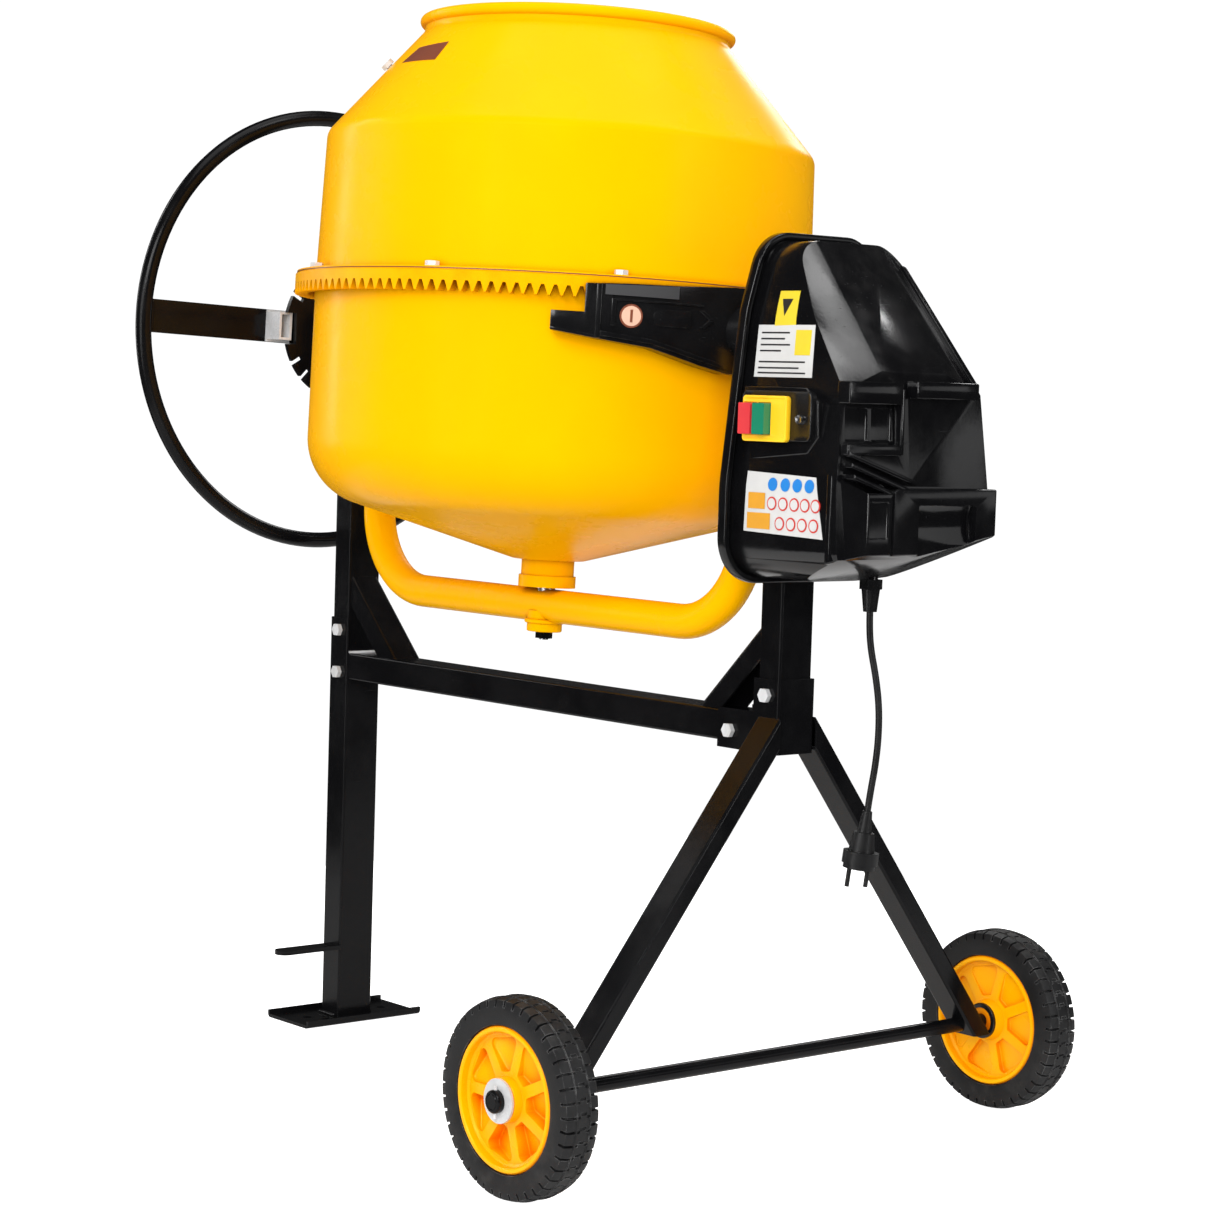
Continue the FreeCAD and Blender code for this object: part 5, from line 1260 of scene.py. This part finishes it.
# ------------------------------------------------------------------ motor housing
@dataclass
class MotorHousing:
    """Moulded cover on its back plate, with the switch and generic stickers."""

    profile: tuple[tuple[float, float, float], ...] = ((108.0, 606.0, 40.0), (108.0, 700.0, 140.0),
                                                       (90.0, 868.0, 110.0), (66.0, 946.0, 38.0))
    plate_profile: tuple[tuple[float, float, float], ...] = ((118.0, 599.0, 48.0), (118.0, 700.0, 150.0),
                                                             (98.0, 875.0, 120.0), (74.0, 955.0, 45.0))
    plate_x: tuple[float, float] = (401.0, 413.0)
    back: float = 404.0
    front: float = 562.0
    skirt_front: float = 575.0
    wall: float = 3.5
    brow: Flat = (560.0, 806.0)
    roof: Vector = field(default_factory=lambda: Vector((0.8, 0.0, 0.6)))
    fold_y: float = 45.0
    fold: float = 12.0

    def build(self) -> None:
        """Mould the cover and plate, then fit the switch and the stickers."""
        cover = self.mould_cover()
        self.mould_plate()
        self.fit_switch()
        Stickers(cover).build()

    def outline(self, profile: Sequence[tuple[float, float, float]], inset: float = 0.0) -> list[Flat]:
        """Closed symmetric outline seen along X.

        Args:
            profile: Half width, height and corner radius, from the bottom to the top.
            inset: How far inside the profile the outline lies.

        Returns:
            Points of the outline as (y, z) pairs.
        """
        middle = (profile[0][1] + profile[-1][1]) / 2
        half = [(y - inset, z + (inset if z < middle - 100 else -inset if z > middle + 100 else 0.0),
                 max(4.0, r - inset)) for y, z, r in profile]
        return closed_outline([(-y, z, r) for y, z, r in half] + [(y, z, r) for y, z, r in half[::-1]], 5.0)

    def slab(self, name: str, line: Sequence[Flat], low: float, high: float) -> Blank:
        """Push a (y, z) outline out along X."""
        points = [spot(low, y, z) for y, z in line]
        blank = Blank.outline(name, points).fill()
        blank.all().push(Vector(((high - low) * MM, 0, 0)))
        return blank.outward()

    def prism(self, name: str, line: Sequence[Flat], low: float, high: float) -> Blank:
        """Push an (x, z) outline out along Y."""
        points = [spot(x, low, z) for x, z in line]
        blank = Blank.outline(name, points).fill()
        blank.all().push(Vector((0, (high - low) * MM, 0)))
        return blank.outward()

    def hood(self, name: str, inset: float, front: float) -> Blank:
        """Closed body of the cover at a distance inside its outer faces."""
        blank = self.slab(name, self.outline(self.profile, inset), self.back + inset / 2, front)
        brow = Vector((self.brow[0], 0.0, self.brow[1])) - self.roof * inset
        blank.cut(spot(*brow), self.roof)
        tilt = math.radians(self.fold)
        for side in (-1, 1):
            away = Vector((self.roof.x * math.cos(tilt), side * math.sin(tilt), self.roof.z * math.cos(tilt)))
            blank.cut(spot(brow.x, side * self.fold_y, brow.z), away)
        blank.cut(spot(562.0 - inset, 0.0, 644.0), Vector((0.9983, 0.0, 0.0577)))
        self.cut_underside(blank, inset)
        return blank

    def cut_underside(self, blank: Blank, inset: float) -> None:
        """Plane the underside so that it rises to the front and to both sides."""
        blank.cut(spot(490.0, 0.0, 606.0 + inset), Vector((0.34, 0.0, -0.94)))
        blank.cut(spot(484.0, 12.0, 606.0 + inset), Vector((0.34, 0.16, -0.927)))

    def mould_cover(self) -> bpy.types.Object:
        """Mould the cover from its body, its skirt, ledges and recesses, and hollow it out."""
        cover = self.hood("motor_cover_shell", 0.0, self.front).solid()
        combine(cover, self.skirt(), "UNION")
        for low, high, reach in (((-101, 784), (-27, 806), 4.5), ((-101, 734), (-27, 745), 4.0),
                                 ((-8, 791), (82, 808), 4.5), ((-27, 734), (-22, 800), 3.0)):
            ledge = Blank.block("ledge", spot(548.0, *low), spot(self.front + reach, *high))
            combine(cover, ledge.solid(1.8 * MM, 2, 30.0), "UNION")
        for drop in (0.0, 11.0, 22.0):
            rib = self.slab("rib", [(-99, 733 - drop), (-99, 738 - drop), (-6, 710 - drop), (-6, 705 - drop)],
                            552.0, 567.5 + drop * 0.32)
            combine(cover, rib.solid(1.2 * MM, 2, 30.0), "UNION")
        for low, high, front, depth in (((-96, 747), (-64, 781), self.front, 9.0),
                                        ((-60, 747), (-30, 781), self.front, 9.0),
                                        ((-12, 737), (84, 788), self.front, 4.5),
                                        ((-78, 652), (-50, 690), self.skirt_front, 1.6)):
            hollow = Blank.block("hollow", spot(front - depth, *low), spot(front + 30.0, *high))
            combine(cover, hollow.solid(2.6 * MM, 3, 30.0), "DIFFERENCE")
        scoop = self.prism("scoop", [(610, 686), (566, 686), (562, 674), (562.5, 660), (566, 646), (573, 632),
                                     (580, 622), (610, 622)], -8.0, 75.0)
        combine(cover, scoop.solid(2.0 * MM, 3, 50.0), "DIFFERENCE")
        combine(cover, self.roof_ridge(), "UNION")
        groove = Blank.block("groove", spot(self.skirt_front - 2.0, -46, 600), spot(self.skirt_front + 5, -42.5, 720))
        combine(cover, groove.solid(), "DIFFERENCE")
        combine(cover, self.hood("cavity", self.wall, 549.0).solid(), "DIFFERENCE")
        clean(cover)
        return round_and_dress(cover, 2.2 * MM, "frame", Slot.GLOSS_BLACK_PLASTIC, ["motor_cover"])

    def roof_ridge(self) -> bpy.types.Object:
        """Raised ridge down the roof's far edge."""
        fall = math.tan(math.radians(self.fold))
        points = []
        for y, z in ((62.0, 926.0), (69.0, 926.0), (95.0, 808.0), (87.0, 808.0)):
            x = self.brow[0] - (z - self.brow[1]) * self.roof.z / self.roof.x
            points.append(spot(x, y, z) - self.roof * ((y - self.fold_y) * fall + 3.0) * MM)
        blank = Blank.outline("ridge", points).fill()
        blank.all().push(self.roof * 8.0 * MM)
        return blank.outward().solid(1.6 * MM, 3, 30.0)

    def skirt(self) -> bpy.types.Object:
        """Thick lower band round the cover's front, with its chamfered corners."""
        line = [(-120, 722), (-80, 698), (-46, 698), (-36, 702), (120, 702), (120, 590), (-120, 590)]
        band = self.slab("skirt", line, 546.0, self.skirt_front)
        band.cut(spot(self.skirt_front, -80.0, 0.0), Vector((0.79, -0.613, 0.0)))
        band.cut(spot(self.skirt_front, 104.0, 0.0), Vector((0.6, 0.8, 0.0)))
        for side in (-1, 1):
            band.cut(spot(0.0, side * 108.8, 0.0), Vector((0.0, side * 1.0, 0.0)))
        self.cut_underside(band, 0.0)
        return band.solid(1.6 * MM, 2, 18.0)

    def mould_plate(self) -> None:
        """Mould the back plate with its rolled lip and sunken middle."""
        low, high = self.plate_x
        blank = self.slab("housing_back_plate", self.outline(self.plate_profile), low, high)
        blank.pick(lambda at, facing: facing.x > 0.9)
        blank.inset(0.0062, 0.0).inset(0.0016, -0.0028)
        blank.pick(lambda at, facing: facing.x < -0.9)
        blank.inset(0.006, -0.002)
        plate = blank.solid(1.9 * MM, 3, 30.0)
        bore = Blank.disc("bore", spot(low - 5.0, 0.0, PIVOT.z / MM), 25.2 * MM, Vector((1, 0, 0)), 64)
        bore.push(Vector((0.025, 0, 0)))
        combine(plate, bore.outward().solid(), "DIFFERENCE")
        dress(plate, "frame", PAINTS[Slot.GLOSS_BLACK_PLASTIC],
              replaces=["back_plate"])

    def fit_switch(self) -> None:
        """Fit the switch's pad, body, yellow plate with wells round the buttons, and screw."""
        pad = self.prism("switch_pad", [(420, 799), (509, 798), (528, 783), (530, 751), (514, 733), (434, 725)],
                         -95.0, -105.5)
        pad.finish("frame", PAINTS[Slot.GLOSS_BLACK_PLASTIC], Slot.GLOSS_BLACK_PLASTIC.value, bevel=2.0 * MM,
                   segments=3)
        body = self.prism("switch_case", rounded_quad((426, 745.5), (524, 794.5), 7.0), -103.0, -112.5)
        body.pick(lambda at, facing: facing.y < -0.9)
        body.inset(0.0022, -0.0012)
        body.finish("frame", PAINTS[Slot.SATIN_BLACK_PLASTIC], Slot.SATIN_BLACK_PLASTIC.value, bevel=1.1 * MM,
                    segments=3, replaces=["switch_body"])
        plate = self.prism("switch_face", rounded_quad((432, 744.0), (495, 789.5), 4.0), -111.0, -117.2)
        plate.pick(lambda at, facing: facing.y < -0.9)
        plate.inset(0.0024, 0.0).inset(0.0007, -0.0010)
        face = plate.solid(0.7 * MM, 2, 40.0)
        for node in ("red_button", "green_button"):
            low, high = (Vector(corner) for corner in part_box(node))
            gap = Vector((0.0009, 0.0, 0.0009))
            well = Blank.block("well", Vector((low.x, low.y - 0.02, low.z)) - gap,
                               Vector((high.x, -0.1125, high.z)) + gap)
            combine(face, well.solid(), "DIFFERENCE")
        dress(face, "frame", PAINTS[Slot.SWITCH_YELLOW], replaces=["switch_plate"])
        screw = Blank.disc("switch_screw", spot(508.0, -111.0, 767.0), 4.6 * MM, Vector((0, -1, 0)), 32)
        screw.push(Vector((0, -0.0026, 0)))
        screw.pick(lambda at, facing: facing.y < -0.9)
        screw.inset(0.0022, -0.0012)
        screw.outward().finish("frame", PAINTS[Slot.BRIGHT_STEEL], Slot.BRIGHT_STEEL.value, bevel=0.5 * MM)


def rounded_quad(low: Flat, high: Flat, radius: float) -> list[Flat]:
    """Rectangle with rounded corners."""
    corners = [(low[0], low[1], radius), (high[0], low[1], radius), (high[0], high[1], radius),
               (low[0], high[1], radius)]
    return closed_outline(corners, 15.0)


def combine(target: bpy.types.Object, tool: bpy.types.Object, how: str) -> None:
    """Join a closed shape to another or cut it away; the tool is used up.

    Args:
        target: Shape that is changed.
        tool: Shape that is joined or cut away.
        how: UNION, DIFFERENCE or INTERSECT.
    """
    alone(target)
    change = target.modifiers.new("shape", "BOOLEAN")
    change.operation, change.object, change.solver = how, tool, "EXACT"
    bpy.ops.object.modifier_apply(modifier=change.name)
    bpy.data.objects.remove(tool, do_unlink=True)


def join(pieces: Sequence[bpy.types.Object]) -> bpy.types.Object:
    """Join several objects into the first one."""
    bpy.ops.object.select_all(action="DESELECT")
    for piece in pieces:
        piece.select_set(True)
    bpy.context.view_layer.objects.active = pieces[0]
    if len(pieces) > 1:
        bpy.ops.object.join()
    return pieces[0]


def turned_copy(obj: bpy.types.Object, centre: Vector, axis: Vector, angle: float) -> bpy.types.Object:
    """Copy an object, with its own mesh, turned about an axis through a point."""
    copy = obj.copy()
    copy.data = obj.data.copy()
    bpy.context.scene.collection.objects.link(copy)
    copy.data.transform(Matrix.Translation(centre) @ Matrix.Rotation(angle, 4, axis) @ Matrix.Translation(-centre))
    return copy


def clean(obj: bpy.types.Object) -> None:
    """Merge the leftovers of the cuts and recalculate the normals."""
    alone(obj)
    bpy.ops.object.mode_set(mode="EDIT")
    bpy.ops.mesh.select_all(action="SELECT")
    bpy.ops.mesh.remove_doubles(threshold=MERGE_GAP)
    bpy.ops.mesh.dissolve_limited(angle_limit=FLAT_ENOUGH)
    bpy.ops.mesh.normals_make_consistent(inside=False)
    bpy.ops.object.mode_set(mode="OBJECT")


def round_and_dress(obj: bpy.types.Object, width: float, body: str, slot: Slot,
                    replaces: Sequence[str]) -> bpy.types.Object:
    """Round a carved shape's edges and dress it."""
    edge = obj.modifiers.new("rounding", "BEVEL")
    edge.width, edge.segments, edge.limit_method, edge.angle_limit = width, 3, "ANGLE", math.radians(28.0)
    edge.use_clamp_overlap = True
    bpy.ops.object.modifier_apply(modifier=edge.name)
    return dress(obj, body, PAINTS[slot], 40.0, replaces)


@dataclass
class Stickers:
    """Plain stickers with generic marks, laid on the cover's side."""

    cover: bpy.types.Object
    drawn_y: float = -140.0
    thick: float = 0.25

    def build(self) -> None:
        """Lay every sticker and its marks."""
        yellow, white, blue, red, orange, dark = (
            STICKER_INKS[name] for name in ("yellow", "white", "blue", "red", "orange", "dark"))
        self.lay("sticker_upper", [[(445, 894), (473, 894), (477, 860), (447, 859)]], yellow, 0.3)
        self.lay("sticker_upper_mark", [[(451, 886), (466, 886), (458.5, 869)]], dark, 0.6)
        self.lay("sticker_rating", [[(424, 860), (505, 860), (508, 808), (425, 808)]], white, 0.3)
        self.lay("sticker_rating_block", [[(479, 855), (501, 855), (502, 830), (480, 830)]], yellow, 0.6)
        lines = [[(430, z), (430 + reach, z), (430 + reach, z - 1.6), (430, z - 1.6)]
                 for z, reach in ((853, 40), (847, 34), (841, 42), (835, 30), (824, 66), (818, 58), (813, 68))]
        self.lay("sticker_rating_lines", lines, dark, 0.6)
        self.lay("sticker_lower", [[(432, 714), (530, 711), (543, 651), (430, 654)]], white, 0.3)
        self.lay("sticker_lower_discs", [self.ring(x, 702.0, 6.6) for x in (470, 488, 505, 522)], blue, 0.8)
        signs = [(x, 683.0) for x in (470, 486, 502, 517, 532)] + [(x, 663.5) for x in (482, 498, 514, 530)]
        for part, radius, ink, lift in (("signs", 6.8, red, 0.8), ("centres", 5.2, white, 1.2)):
            self.lay(f"sticker_lower_{part}", [self.ring(x, z, radius) for x, z in signs], ink, lift)
        self.lay("sticker_lower_blocks", [[(436, 693), (460, 693), (460, 677), (436, 677)],
                                          [(435, 673), (468, 673), (468, 657), (435, 657)]], orange, 0.8)

    def ring(self, x: float, z: float, radius: float) -> list[Flat]:
        """Round outline of a mark."""
        return arc((x, z), radius, 0.0, 360.0 * 23 / 24, 23)

    def lay(self, name: str, outlines: Sequence[Sequence[Flat]], ink: bpy.types.Material, lift: float) -> None:
        """Draw flat outlines, lay them on the cover and give them the film's thickness.

        Args:
            name: Name of the sticker layer.
            outlines: Corners of each outline as (x, z) pairs.
            ink: Its material.
            lift: Height of the film above the cover in millimetres.
        """
        pieces = []
        for outline in outlines:
            points = [spot(x, self.drawn_y, z) for x, z in outline]
            blank = Blank.outline(name, points).fill()
            for z in (660.0, 680.0, 700.0, 720.0, 815.0, 835.0, 855.0, 868.0, 880.0):
                blank.all()
                bpy.ops.mesh.bisect(plane_co=spot(0.0, 0.0, z), plane_no=(0, 0, 1))
            pieces.append(blank.solid())
        film = join(pieces)
        hug = film.modifiers.new("hug", "SHRINKWRAP")
        hug.target, hug.wrap_method, hug.use_project_y = self.cover, "PROJECT", True
        hug.use_positive_direction, hug.offset = True, lift * MM
        bpy.ops.object.modifier_apply(modifier=hug.name)
        body = film.modifiers.new("film", "SOLIDIFY")
        body.thickness, body.offset = self.thick * MM, 0.0
        bpy.ops.object.modifier_apply(modifier=body.name)
        bpy.ops.object.mode_set(mode="EDIT")
        bpy.ops.mesh.select_all(action="SELECT")
        bpy.ops.mesh.normals_make_consistent(inside=False)
        bpy.ops.object.mode_set(mode="OBJECT")
        dress(film, "frame", ink)


# ------------------------------------------------------------------ welds on the stand
@dataclass
class StandWelds:
    """Hand-laid weld beads where the stand's sections meet."""

    radius: float = 2.6

    def build(self) -> None:
        """Lay a bead along each listed seam."""
        seams = {
            "brace_top_motor": [(368, -21, 458), (368, 21, 458)],
            "brace_top_foot": [(-368, -21, 458), (-368, 21, 458)],
            "crossbar_motor": [(367.5, -17, 426), (367.5, -17, 457)],
            "crossbar_foot": [(-367.5, -17, 426), (-367.5, -17, 457)],
            "foot_plate_front": [(-404, -26, 5), (-371, -26, 5)],
            "foot_plate_back": [(-404, 26, 5), (-371, 26, 5)],
        }
        for name, (start, end) in seams.items():
            self.lay(name, spot(*start), spot(*end))

    def lay(self, name: str, start: Vector, end: Vector) -> None:
        """Lay one rippled bead between two points."""
        along = end - start
        steps = max(4, round(along.length / 0.0035))
        blank = Blank.disc(f"weld_{name}", start, self.radius * MM, along.normalized(), 10, filled=False)
        for _ in range(steps):
            blank.push(along / steps)
        blank.all()
        bpy.ops.mesh.fill_holes(sides=0)
        blank.outward()
        weld_ripple(blank.obj)
        blank.finish("frame", PAINTS[Slot.ZINC_PLATE if "brace" in name else Slot.BLACK_PAINT],
                     Slot.BLACK_PAINT.value, smooth=60.0)


def main() -> None:
    """Build the studio and every piece in order."""
    Studio().build()
    MainsLead().build()
    dress_packed_nodes()
    Drum().build()
    Yoke().build()
    Handwheel().build()
    GearGuard().build()
    MotorHousing().build()
    for side in Side:
        RoadWheel(side).build()
    AxleEnds().build()
    StandWelds().build()


if __name__ == "__main__":
    main()
